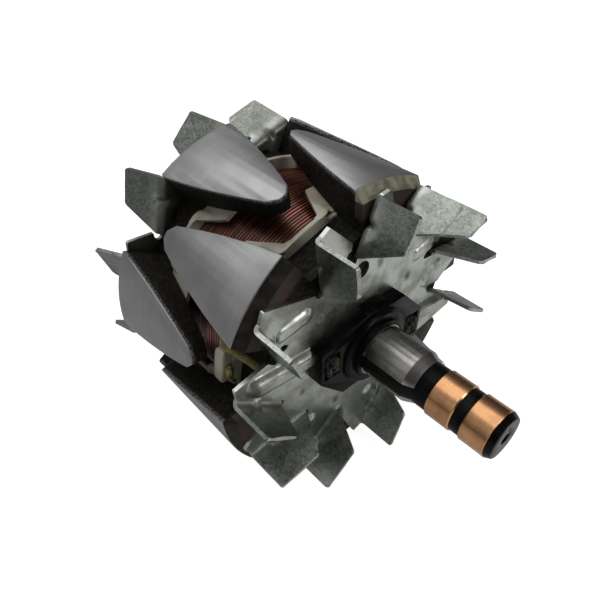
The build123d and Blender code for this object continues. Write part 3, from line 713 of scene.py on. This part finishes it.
def winding_surface(rows_per_wire=9, steps=260):
    """Radius = coil radius less the wire's radius, plus the half circle of the nearest wire."""
    x = np.linspace(-coil_half, coil_half, wire_count * rows_per_wire + 1)[:, None]
    turn = full_turn(steps)
    slide = wire_pitch * turn / (2.0 * np.pi)
    off_wire = (x - slide + wire_radius) % wire_pitch - wire_radius
    sway = 0.07 * np.sin(3.0 * turn + 0.5 * x) + 0.05 * np.sin(7.0 * turn - 0.9 * x)
    rise = np.sqrt(np.clip(wire_radius**2 - off_wire**2, 0.0, None))
    radius = coil_radius - wire_radius + rise + sway - 0.1
    points = carried_round(x, radius, turn)
    ends = points[[0, -1]].copy()
    ends[..., 1:] *= coil_floor / radius[[0, -1]][..., None]
    points = np.concatenate([ends[:1], points, ends[1:]])
    crest = np.pad(rise / wire_radius, ((1, 1), (0, 0)))
    return write_mesh("winding", points, grid_faces(len(points), steps, True, True), {"crest": crest})


show(smoothed(winding_surface()), wire_enamel, ["field_coil"])

# %% [markdown]
# ## The fans
# A fan is one sheet with a tongue and a blade at each place round it. The flat part is a fine grid on the
# fan's plane, cut by a distance: for every point, how far it is outside the outline, negative inside.
# Distances combine simply, the least of two joins shapes and the greatest cuts, so hub, tongues, slots and
# holes become one number. Grid points at the cut slide onto it, and ribs are lifts of the same sheet.

# %% Fan sizes
sheet = 1.2              # thickness
grid_step = 0.5
pack_half = 28.9         # from the rotor's middle to a fan's inner face
bend_outside = 2.3       # a bend's outer radius
bend_middle = bend_outside - 0.5 * sheet
half_bend = 0.785 * bend_middle   # from its start to its middle, along the sheet
diagonal = 0.7071        # the parts, up and across, of a way at 45 degrees
blade_height = 15.1
blade_slant = 7.0        # how much longer a blade is at its root than at its tip
hub_radius = 34.0
lobe_width_angle = 6.5
lobe_flare = 26.0
root_slot = 1.4          # width of the slot behind a blade, at its inner end
relief_radius = 1.3      # of the hole that ends a bend
cut_rounding = 0.9
rib_width, rib_rise = 4.2, 0.95
gusset_place = 8.0       # along the bend, from its outer end
gusset_rise = 1.15
gusset_spread = (1.2, 2.0)        # along the bend, and over it

# Blades: angle of the outer corner, lean from the radius, length of the tip.
rear_blades = [
    (-25.2, 18.0, 10.5), (0.8, 23.0, 10.5), (22.5, 30.0, 9.5), (43.8, 27.0, 9.0),
    (70.5, 27.0, 9.0), (100.2, 23.0, 12.0), (136.0, 25.0, 13.0), (172.7, 27.0, 14.5),
    (211.5, 21.0, 14.5), (245.0, 18.0, 14.5), (276.5, 33.0, 12.5), (304.0, 32.0, 9.0),
]
front_blades = [(angle, 48.0, 12.0) for angle in (-3.4, 25.5, 56, 88, 120, 152, 186, 221, 257, 293, 325)]

# Ribs: radius and angle of the middle, skew from the radius, length.
rear_ribs = [
    (32.8, 49.7, 28.0, 9.5), (33.1, 75.1, -21.7, 11.1), (35.6, -52.1, -48.6, 12.3),
    (35.2, -140.6, -29.0, 11.7), (34.0, 24.0, -20.0, 9.0), (33.0, 132.0, -25.0, 10.0),
    (34.0, 166.0, -25.0, 11.0), (34.0, -165.0, -25.0, 11.0),
]
front_ribs = [(35.0, angle - 6.0, -40.0, 8.0) for angle, lean, tip in front_blades]

# Round holes: place of the middle, as (y, z), and radius. The bore comes first, then the sight hole.
rear_holes = [((0.0, 0.0), 10.0), (polar(27.4, -5.8), 2.9),
              ((-31.7, 16.0), 1.2), ((-33.3, -5.5), 1.2), ((-27.3, -18.8), 1.2)]
front_holes = [((0.0, 0.0), 10.5), (polar(27.4, 5.8), 2.9)]

# Other cuts: corners as (y, z), which the rounding widens.
rear_cuts = [[(27.3, 17.2), (30.2, 20.4), (36.6, 17.6), (34.6, 16.4)],
             [(-6.9, 30.6), (-6.0, 32.0), (-8.2, 35.0), (-8.8, 33.4)]]
front_cuts = [[(0.8, 44.5), (0.8, 51.0), (8.0, 51.0), (8.0, 44.5)]]

# Channels over the leads: two ends as (y, z), and rise.
rear_channels = [((-41.0, 7.8), (-20.0, 6.0), 2.3), ((41.0, -7.8), (20.0, -6.0), 2.3)]

# Stains: place as (y, z), size, and how dark.
rear_spots = [
    (19.3, 13.7, 2.2, 0.8), (5.0, 26.0, 2.0, 0.6), (-18.3, 18.6, 1.9, 0.8), (-24.8, -7.0, 2.0, 0.8),
    (-10.2, -22.2, 2.2, 0.7), (24.0, -12.0, 2.2, 0.8), (8.0, -26.0, 2.0, 0.6), (-42.5, 8.3, 1.8, 0.8),
]
front_spots = [(*polar(26.0, angle), 2.1, 0.8) for angle in range(15, 375, 60)]


# %% Distances to outlines
def circle_distance(points, centre, radius):
    """How far outside a circle: the distance to its centre less its radius."""
    return np.linalg.norm(points - centre, axis=-1) - radius


def polygon_distance(points, corners):
    """Distance to the nearest side, negative inside, where a ray crosses the sides an odd number of times."""
    corners = np.asarray(corners, float)
    side = np.roll(corners, -1, axis=0) - corners
    away = points[:, None] - corners
    share = np.clip((away * side).sum(-1) / (side**2).sum(-1), 0.0, 1.0)
    distance = np.linalg.norm(away - side * share[..., None], axis=-1).min(axis=1)
    below = corners[:, 1] <= points[:, None, 1]
    crossing = below != np.roll(below, -1, axis=1)
    left = side[:, 0] * away[..., 1] - side[:, 1] * away[..., 0]
    inside = (crossing & ((left > 0) == (side[:, 1] > 0))).sum(axis=1) % 2 == 1
    return np.where(inside, -distance, distance)


def slot_distance(points, middle, way, length, width):
    """Distance to a round-ended slot: to the nearest point of its middle line, less half its width."""
    half = 0.5 * (length - width)
    along = np.clip((points - middle) @ way, -half, half)
    return np.linalg.norm(points - middle - along[:, None] * way, axis=-1) - 0.5 * width


def blade_frame(radius, angle, lean):
    """Outer corner of a blade's root on the fan's plane, the way in along it, and the way to its tongue."""
    outward = polar(1.0, angle)
    around = polar(1.0, angle + 90.0)
    inward = -outward * np.cos(np.radians(lean)) - around * np.sin(np.radians(lean))
    across = around * np.cos(np.radians(lean)) - outward * np.sin(np.radians(lean))
    return radius * outward, inward, across


def tongue_corners(radius, angle, lean, tip_length):
    """The flat tongue beside a blade: its two ends at the bend, and its free edge."""
    corner, inward, across = blade_frame(radius, angle, lean)
    edge_angle = angle + lobe_width_angle
    flare = np.radians(lobe_flare)
    free_way = polar(1.0, edge_angle + 90.0) * np.sin(flare) - polar(1.0, edge_angle) * np.cos(flare)
    free_length = (radius - hub_radius) / np.cos(flare) + sheet
    near = corner + across * bend_outside
    free = polar(radius, edge_angle)
    return [near, near + inward * (tip_length + blade_slant), free + free_way * free_length, free]


def fan_distance(points, radius, blades, holes, cuts):
    """The fan's flat part: hub and tongues joined, then slots, bend ends, holes and other cuts taken out."""
    distance = circle_distance(points, (0.0, 0.0), hub_radius)
    for blade in blades:
        distance = np.minimum(distance, polygon_distance(points, tongue_corners(radius, *blade)))
    for angle, lean, tip_length in blades:
        corner, inward, across = blade_frame(radius, angle, lean)
        outer = corner - inward * 3.0
        inner = corner + inward * (tip_length + blade_slant)
        slot = [outer - across * 9.0, inner - across * root_slot,
                inner + across * bend_outside, outer + across * bend_outside]
        distance = np.maximum(distance, -polygon_distance(points, slot))
        distance = np.maximum(distance, -circle_distance(points, inner, relief_radius))
    for centre, hole_radius in holes:
        distance = np.maximum(distance, -circle_distance(points, centre, hole_radius))
    for cut in cuts:
        distance = np.maximum(distance, cut_rounding - polygon_distance(points, cut))
    return distance


# %% Pressed features
def plateau(distance, flat, reach):
    """1 out to a flat width, then down a soft shoulder to 0 at its reach."""
    return 1.0 - smooth_step(distance, flat, reach)


def rib_lift(points, ribs):
    """Ribs pressed up in the sheet: a flat top with short shoulders round each slot."""
    lift = np.zeros(len(points))
    for middle, angle, skew, length in ribs:
        out = slot_distance(points, polar(middle, angle), polar(1.0, angle + skew), length, rib_width)
        lift = np.maximum(lift, rib_rise * plateau(out, -1.1, 0.5))
    return lift


def channel_lift(points, channels):
    """The flat-topped ridge over each lead: a plateau round the lead's line, with a round outer end."""
    lift = np.zeros(len(points))
    for start, end, height in channels:
        start, end = np.array(start), np.array(end)
        length = np.linalg.norm(end - start)
        out = slot_distance(points, 0.5 * (start + end), (end - start) / length, length + 0.02, 0.02)
        lift = np.maximum(lift, height * plateau(out, 1.4, 3.7))
    return lift


def gusset_lift(along_root, from_bend):
    """The dimple pressed into each bend: a hill round one place on the bend's line."""
    along, over = (along_root - gusset_place) / gusset_spread[0], from_bend / gusset_spread[1]
    return gusset_rise * np.exp(-(along**2) - over**2)


# %% The flat of a fan
def fan_flat(name, side, radius, blades, ribs, channels, holes, cuts, spots):
    """Grid on the fan's plane, kept where the distance is negative, its rim moved onto the outline."""
    def outside(where):
        return fan_distance(where, radius, blades, holes, cuts)

    count = int(2 * (radius + 1.0) / grid_step) + 1
    lines = np.linspace(-radius - 1.0, radius + 1.0, count)
    points = np.stack(np.meshgrid(lines, lines, indexing="ij"), axis=-1).reshape(-1, 2)
    faces = grid_faces(count, count)
    faces = faces[outside(points[faces].mean(axis=1)) < 0.0]
    uses = np.bincount(faces.ravel(), minlength=len(points))
    rim = np.flatnonzero((uses > 0) & (uses < 4))
    nudge = 0.01
    for attempt in range(3):
        here = outside(points[rim])
        slope = np.stack([outside(points[rim] + way) - here for way in nudge * np.eye(2)], axis=-1) / nudge
        steepness = np.maximum((slope**2).sum(-1), 0.5)
        points[rim] -= np.clip(here, -0.4, 0.4)[:, None] * slope / steepness[:, None]
    used, faces = np.unique(faces, return_inverse=True)
    faces = faces.reshape(-1, 4)
    points = points[used]

    lift = np.maximum(rib_lift(points, ribs), channel_lift(points, channels))
    shift = np.zeros((len(points), 2))
    for angle, lean, tip_length in blades:
        corner, inward, across = blade_frame(radius, angle, lean)
        along_root, off_root = (points - corner) @ inward, (points - corner) @ across
        near = (off_root > bend_outside - 0.1) & (np.abs(along_root - gusset_place) < 7.0)
        from_bend = np.clip(off_root - bend_outside, 0.0, None) + half_bend
        hill = diagonal * np.where(near, gusset_lift(along_root, from_bend), 0.0)
        lift = lift + hill
        shift = shift + hill[:, None] * across
    x = side * (pack_half + 0.5 * sheet + lift)

    stain = np.zeros(len(points))
    for y, z, size, darkness in spots:
        off = np.linalg.norm((points - (y, z)) / (1.0, 1.35), axis=-1)
        stain = np.maximum(stain, darkness * bell(off, size))
    marks = {"rim": -outside(points), "stain": stain}
    points = np.concatenate([x[:, None], points + shift], axis=1)
    return new_piece(name, write_mesh(name, points, faces if side > 0 else faces[:, ::-1], marks))


# %% The blades of a fan
def fan_blade(name, side, radius, blade, corner_radius, tilt, columns=60):
    """One blade. Its section is a quarter circle and then a straight rise; each row of that section runs
    along the root, from the outer edge to an inner edge that slants, and draws in at the tip's corners.
    Tilt says how far the tip leans round the fan and outwards, and how much the blade bows."""
    angle, lean, tip_length = blade
    lean_round, lean_out, bow = tilt
    corner, inward, across = blade_frame(radius, angle, lean)
    corner_from = blade_height - corner_radius
    arc = np.linspace(0.0, 0.5 * np.pi, 11)
    rise = np.concatenate([
        bend_outside + (corner_from - bend_outside) * np.linspace(0.0, 1.0, 22)[1:] ** 1.3,
        blade_height - corner_radius * (1.0 - np.sin(np.linspace(0.0, 0.5 * np.pi, 9)[1:]))])
    out = np.concatenate([bend_outside - bend_middle * np.sin(arc), np.full(len(rise), 0.5 * sheet)])[:, None]
    up = np.concatenate([bend_outside - bend_middle * np.cos(arc), rise])[:, None]
    from_bend = np.concatenate([
        bend_middle * (arc - 0.25 * np.pi), bend_middle * 0.25 * np.pi + rise - bend_outside])[:, None]

    share = np.linspace(0.0, 1.0, columns)
    full = tip_length + blade_slant * np.clip((blade_height - up) / (blade_height - bend_outside), 0.0, 1.0)
    drawn = np.clip(up - corner_from, 0.0, corner_radius)
    inset = corner_radius - np.sqrt(np.clip(corner_radius**2 - drawn**2, 0.0, None))
    along = inset + share * (full - 2.0 * inset)
    climb = np.clip((up - bend_outside) / (blade_height - bend_outside), 0.0, 1.0)
    tip_shift = lean_round * polar(1.0, angle + 90.0) + lean_out * polar(1.0, angle)
    hill = diagonal * gusset_lift(along, from_bend)
    off_root = out + hill + bow * np.sin(np.pi * share) * climb
    plane = corner + along[..., None] * inward + off_root[..., None] * across + climb[..., None] * tip_shift
    x = side * (pack_half + up + hill)

    edge = np.minimum(np.minimum(along - inset, full - inset - along), blade_height - up)
    # The stain mark on a blade is painted shade along its bend.
    marks = {"rim": np.abs(edge), "stain": 0.40 * bell(from_bend + 0.0 * along, 2.0)}
    points = np.concatenate([x[..., None], plane], axis=-1)
    return new_piece(name, write_mesh(name, points, grid_faces(*along.shape, flip=side > 0), marks))


# %% Putting the fans together
def build_fan(end, side, radius, blades, ribs, channels, holes, cuts, spots, corner_radius, tilt, material):
    """Join a flat and its blades, give the sheet its thickness, and keep its cut edges sharp."""
    flat = fan_flat(end + "_flat", side, radius, blades, ribs, channels, holes, cuts, spots)
    risers = [fan_blade(f"{end}_blade_{n}", side, radius, blade, corner_radius, tilt)
              for n, blade in enumerate(blades)]
    with bpy.context.temp_override(active_object=flat, selected_editable_objects=[flat, *risers]):
        bpy.ops.object.join()
    thickness = flat.modifiers.new("sheet", "SOLIDIFY")
    thickness.thickness = sheet * MM
    thickness.offset = 0.0
    thickness.use_even_offset = False
    settle(flat, 65.0)
    flat.name = end + "_fan_sheet"
    show(flat, material, [end + "_fan"])


build_fan("rear", 1.0, 49.5, rear_blades, rear_ribs, rear_channels, rear_holes, rear_cuts, rear_spots,
          corner_radius=0.9, tilt=(0.0, 0.0, 0.12), material=rear_zinc)
build_fan("front", -1.0, 49.9, front_blades, front_ribs, [], front_holes, front_cuts, front_spots,
          corner_radius=1.2, tilt=(-3.8, 1.7, 0.12), material=front_zinc)

# %% [markdown]
# ## Slip rings
# Each ring is a copper band, turned in place and then polished by its brush. A profile carried round the
# shaft gives it eased corners and a shallow track in the middle, where the brush has worn it.

# %% Slip rings
ring_outside, ring_inside = 7.4, 6.15
ring_ease = 0.35         # how far a corner is eased
ring_track = 0.05        # how deep the brush's track is


def ring_profile(start, length):
    """Closed profile, as x and radius: bore, eased corners, and an outside worn down over its middle."""
    end, corner = start + length, ring_outside - ring_ease
    share = np.linspace(0.0, 1.0, 25)
    top_x = start + ring_ease + share * (length - 2.0 * ring_ease)
    top_r = ring_outside - ring_track * np.clip(1.15 - np.abs(2.0 * share - 1.0) ** 6 * 1.15, 0.0, 1.0)
    return np.concatenate([[(start, ring_inside), (start, corner)], np.stack([top_x, top_r], axis=-1),
                           [(end, corner), (end, ring_inside)]])


for ring_name, start, length in (("inner_slip_ring", 60.25, 8.15), ("outer_slip_ring", 71.5, 8.1)):
    profile = ring_profile(start, length)
    band = turned(ring_name + "_band", profile[:, :1], profile[:, 1:], 160)
    show(smoothed(band, 30.0), ring_copper, [ring_name])

# %% [markdown]
# ## The bobbin
# The bobbin is a spool with a skirt at each end. The spool is a turned profile whose flanges stand higher
# where a valley between two claws shows them. The skirt is a sheet on a cone: six petals lie under the
# claws, and the openings between them widen away from the flange. A petal is a grid whose rows run from
# the side of one opening to the side of the next, 60 degrees on.

# %% Bobbin sizes
spool_half = 18.1
spool_inside, spool_outside = 26.1, 27.6
flange = 1.6                              # thickness
flange_low, flange_high = 39.2, 41.0      # radius under a claw and in a valley
rear_valley, front_valley = -18.7, 11.3   # angle of the first valley at each end
skirt_end = 5.6                           # the free end of a petal, along the shaft
corner_start, corner_length = 15.0, 1.5   # where an opening's corner starts to round, and how long it is
lap_start = 16.5                          # where a petal starts to lap over the flange
skirt_wall = 1.2
opening_floor, opening_end = 6.8, 11.5    # half the width of an opening, at the corner and at the free end


# %% Bobbin surfaces
def petal(side, valley, rows=34, columns=48):
    """The skirt between two openings. The radius falls towards the flange as the claw above does, but
    beside an opening, where no claw covers it, it stays level with the flange and laps over it, with a
    corner rounded like a quarter of an ellipse."""
    x = np.concatenate([
        np.linspace(skirt_end, corner_start, rows - 10),
        corner_start + corner_length * np.sin(np.linspace(0.0, 0.5 * np.pi, 9)[1:]), [17.3, 18.05]])[:, None]
    straight = np.interp(x, (skirt_end, corner_start), (opening_end, opening_floor))
    into_corner = np.clip((x - corner_start) / corner_length, 0.0, 1.0)
    opening = straight - 2.2 * (1.0 - np.sqrt(1.0 - into_corner**2))
    pitch = np.radians(60.0) * flange_high
    across = opening + np.linspace(0.0, 1.0, columns) * (pitch - 2.0 * opening)
    from_valley = np.minimum(across, pitch - across)
    under_claw = 39.25 + 0.19 * (spool_half - x)
    level = 1.0 - smooth_step(from_valley, 9.5, 11.5)
    radius = under_claw + level * np.clip(flange_high + 0.04 - under_claw, 0.0, None)
    lap = np.sqrt(1.0 - 0.99 * np.clip((from_valley - 6.0) / 3.6, 0.0, 1.0) ** 2)
    x = np.where(x > lap_start, lap_start + (x - lap_start) * lap, x)
    turn = np.radians(valley) + across / flange_high
    return carried_round(side * x, radius, turn), grid_faces(*turn.shape, flip=side < 0)


def spool(steps=480):
    """One closed profile carried round: a barrel and two flanges. A flange's outside rises and falls with
    the angle, high within 7 mm of each valley's middle. The last number of a profile point is 1 where its
    radius counts from that outside."""
    edge = [(0.0, -0.45, 1), (0.12, -0.14, 1), (0.4, 0.0, 1)]
    half = [(0.0, spool_inside, 0), (spool_half, spool_inside, 0)]
    half += [(spool_half - x, r, at_top) for x, r, at_top in edge]
    half += [(spool_half - flange + x, r, at_top) for x, r, at_top in edge[::-1]]
    half += [(spool_half - flange, spool_outside, 0), (0.0, spool_outside, 0)]
    profile = np.array(half + [(-x, r, at_top) for x, r, at_top in half[::-1]][1:-1])
    valley = np.where(profile[:, :1] > 0, rear_valley, front_valley)
    off = np.abs((np.degrees(full_turn(steps)) - valley + 30.0) % 60.0 - 30.0) * np.radians(flange_high)
    top = flange_high + (flange_low - flange_high) * smooth_step(off, 6.8, 9.4)
    return turned("bobbin_spool", profile[:, :1], profile[:, 1:2] + profile[:, 2:] * top, steps)


# %% Putting the bobbin together
petals = [petal(side, first_valley + 60.0 * n)
          for side, first_valley in ((1.0, rear_valley), (-1.0, front_valley)) for n in range(6)]
skirt_points = np.stack([points.reshape(-1, 3) for points, faces in petals])
skirt_faces = np.concatenate([faces + n * skirt_points.shape[1] for n, (points, faces) in enumerate(petals)])
skirt = new_piece("bobbin_skirts", write_mesh("bobbin_skirts", skirt_points, skirt_faces))
wall = skirt.modifiers.new("wall", "SOLIDIFY")
wall.thickness = skirt_wall * MM
wall.offset = 1.0
round_edges(skirt, 0.3, 3, 50.0)
settle(skirt, 50.0)
show(skirt, ivory_nylon, ["coil_bobbin"])
show(smoothed(spool(), 50.0), ivory_nylon, ["coil_bobbin"])

# %% [markdown]
# ## Bodies that keep their CAD shape
# The shaft, spacer, core, moulding, conductors and resin have the right shape already. The moulding gets a
# copy with rounded edges, and the rest keep their CAD surface and only take a finish.

# %% Moulding
moulding = softened_copy("slip_ring_moulding", "moulding_dressed", 0.30, 3)
show(moulding, moulding_black, ["slip_ring_moulding"])

# %% Finishes on CAD nodes
for node_name, material in {
    "shaft": shaft_steel, "front_spacer": spacer_steel, "field_core": core_steel,
    "inner_ring_conductor": bar_copper, "outer_ring_conductor": bar_copper,
    "start_joint_potting": resin_black, "finish_joint_potting": resin_black,
}.items():
    node_object = frame["nodes"][node_name]
    node_object.data.materials.clear()
    node_object.data.materials.append(material)
    print(node_name, "takes", material.name)

# %% [markdown]
# ## Lead sleeves
# Each end of the winding crosses from the bobbin to the fan in a woven sleeve. The sleeve is a circle
# carried along a smooth line: at each place on the line two directions square to it make the circle's
# plane. The distance along and the turn about it are kept as marks, so the weave follows the sleeve.

# %% Sleeve surface
def smooth_line(corners, rounds=4, count=90):
    """A curve near the corners: rounds of cutting each corner at its quarter points, then even steps."""
    line = np.asarray(corners, float)
    for attempt in range(rounds):
        quarter, three_quarters = 0.75 * line[:-1] + 0.25 * line[1:], 0.25 * line[:-1] + 0.75 * line[1:]
        cut = np.stack([quarter, three_quarters], axis=1).reshape(-1, 3)
        line = np.concatenate([line[:1], cut, line[-1:]])
    travelled = np.concatenate([[0.0], np.cumsum(np.linalg.norm(np.diff(line, axis=0), axis=1))])
    even = np.linspace(0.0, travelled[-1], count)
    return np.stack([np.interp(even, travelled, line[:, k]) for k in range(3)], axis=-1), even


def tube(name, corners, radius, steps=20):
    """A round tube on a smooth line, with its length and turn kept as marks."""
    line, travelled = smooth_line(corners)
    ahead = np.gradient(line, axis=0)
    ahead /= np.linalg.norm(ahead, axis=1, keepdims=True)
    beside = np.cross(ahead, (0.31, 0.52, -0.79))
    beside /= np.linalg.norm(beside, axis=1, keepdims=True)
    above = np.cross(ahead, beside)
    turn = full_turn(steps)[:, None]
    points = line[:, None] + radius * (np.cos(turn) * beside[:, None] + np.sin(turn) * above[:, None])
    ends = np.repeat(line[[0, -1], None], steps, axis=1)
    points = np.concatenate([ends[:1], points, ends[1:]])
    along, around = np.broadcast_arrays(np.pad(travelled, 1, "edge")[:, None], turn[:, 0])
    faces = grid_faces(len(points), steps, False, True, True)
    mesh = write_mesh(name, points, faces, {"along": along, "around": around})
    work = bmesh.new()
    work.from_mesh(mesh)
    bmesh.ops.remove_doubles(work, verts=work.verts, dist=1e-7)
    bmesh.ops.recalc_face_normals(work, faces=work.faces)
    work.to_mesh(mesh)
    work.free()
    return smoothed(mesh)


# %% [markdown]
# ## Joints, posts and drops of varnish
# Where a lead ends, its soldered joint fills a pocket of the moulding. Where it leaves the coil, a post of
# the bobbin stands beside it, and a drop of the varnish that fixed it has set on the flange. Posts and
# drops are both balls with their radius changed: a power squares the one and a wave dents the other.

# %% Joint, post and drop surfaces
def varnish_drop(name, place, sizes):
    """A drop of set varnish: a ball stretched to three sizes, with a slow wave over its radius."""
    rise, turn, faces = sphere_grid(20, 28)
    radius = 1.0 + 0.12 * np.sin(2.0 * turn + 1.0) * np.sin(rise) + 0.10 * np.sin(3.0 * rise)
    across = radius * np.sin(rise)
    ball = np.stack([across * np.cos(turn), across * np.sin(turn), radius * np.cos(rise)], axis=-1)
    return smoothed(write_mesh(name, np.array(place) + ball * sizes, faces))


folds_of_joint = ((0.8, 2.6, 0.5, 0.4), (0.6, 4.3, 2.1, 1.0), (0.35, 8.0, 1.2, 2.0), (0.2, 15.0, 2.8, 0.3))
joint_sunk = 0.9         # how far the joint's rim lies below the potting's outside
joint_rise = 1.5


def crumpled_joint(name, node_name, count=70):
    """The soldered end of a lead in its pocket: a mound over the pocket's rectangle, high in the middle,
    with folds. A fold is a sine wave with its lower half turned up, so its bottom is a sharp crease."""
    corners = np.array([corner[:] for corner in frame["nodes"][node_name].bound_box]) / MM
    low, high = corners.min(axis=0), corners.max(axis=0)
    across, up = np.meshgrid(np.linspace(-1.0, 1.0, count), np.linspace(-1.0, 1.0, count), indexing="ij")
    mound = np.clip(1.0 - across**4, 0.0, 1.0) * np.clip(1.0 - up**4, 0.0, 1.0)
    folds = sum(size * np.abs(np.sin(rate * (across * np.cos(angle) + up * np.sin(angle)) + phase))
                for size, rate, angle, phase in folds_of_joint)
    x = high[0] - joint_sunk + mound * (joint_sunk + joint_rise * folds)
    middle, half = 0.5 * (low + high), 0.5 * (high - low)
    points = np.stack([x, middle[1] + across * half[1], middle[2] + up * half[2]], axis=-1)
    return smoothed(write_mesh(name, points, grid_faces(count, count), {"mound": mound * folds}), 35.0)


post_middle = (15.8, 0.0, 41.4)          # along the shaft, to the side, and out from it
post_half = (2.1, 5.6, 2.9)
post_angle = np.radians(-82.0)


def lead_post(name, way):
    """The bobbin's post beside a lead's way out: a box with round edges, which is a ball whose sine and
    cosine are each raised to a small power, turned to stand out from the shaft at its angle."""
    def squared(wave):
        return np.sign(wave) * np.abs(wave) ** 0.28

    rise, turn, faces = sphere_grid(25, 48)
    box = np.broadcast_arrays(squared(np.sin(rise)) * squared(np.cos(turn)),
                              squared(np.sin(rise)) * squared(np.sin(turn)), squared(np.cos(rise)))
    x, across, out = (middle + half * part for middle, half, part in zip(post_middle, post_half, box))
    y = way * (out * np.sin(post_angle) + across * np.cos(post_angle))
    z = way * (out * np.cos(post_angle) - across * np.sin(post_angle))
    return smoothed(write_mesh(name, np.stack([x, y, z], axis=-1), faces), 60.0)


# %% The two leads
sleeve_radius = 1.12
sleeve_way = np.array([
    (14.0, -37.4, 12.8), (15.2, -41.0, 14.2), (17.4, -41.8, 14.2), (21.0, -40.8, 13.6), (25.5, -39.3, 12.6),
    (29.0, -38.2, 11.0), (30.05, -37.0, 9.0), (30.05, -34.0, 7.6), (30.05, -22.0, 6.3), (31.5, -20.0, 6.0),
])
drop_place, drop_sizes = (18.6, -42.0, 4.6), (1.1, 1.4, 2.4)

for lead_name, way in (("start", 1.0), ("finish", -1.0)):
    half_turn = (1.0, way, way)
    show(lead_post(lead_name + "_lead_post", way), ivory_nylon)
    joint = crumpled_joint(lead_name + "_joint_crumpled", lead_name + "_joint_potting")
    show(joint, joint_metal)
    sleeve = tube(lead_name + "_sleeve_woven", sleeve_way * half_turn, sleeve_radius)
    show(sleeve, woven_sleeve, [lead_name + "_lead_sleeve"])
    drop = varnish_drop(lead_name + "_varnish_drop", np.multiply(drop_place, half_turn), drop_sizes)
    show(drop, amber_varnish)
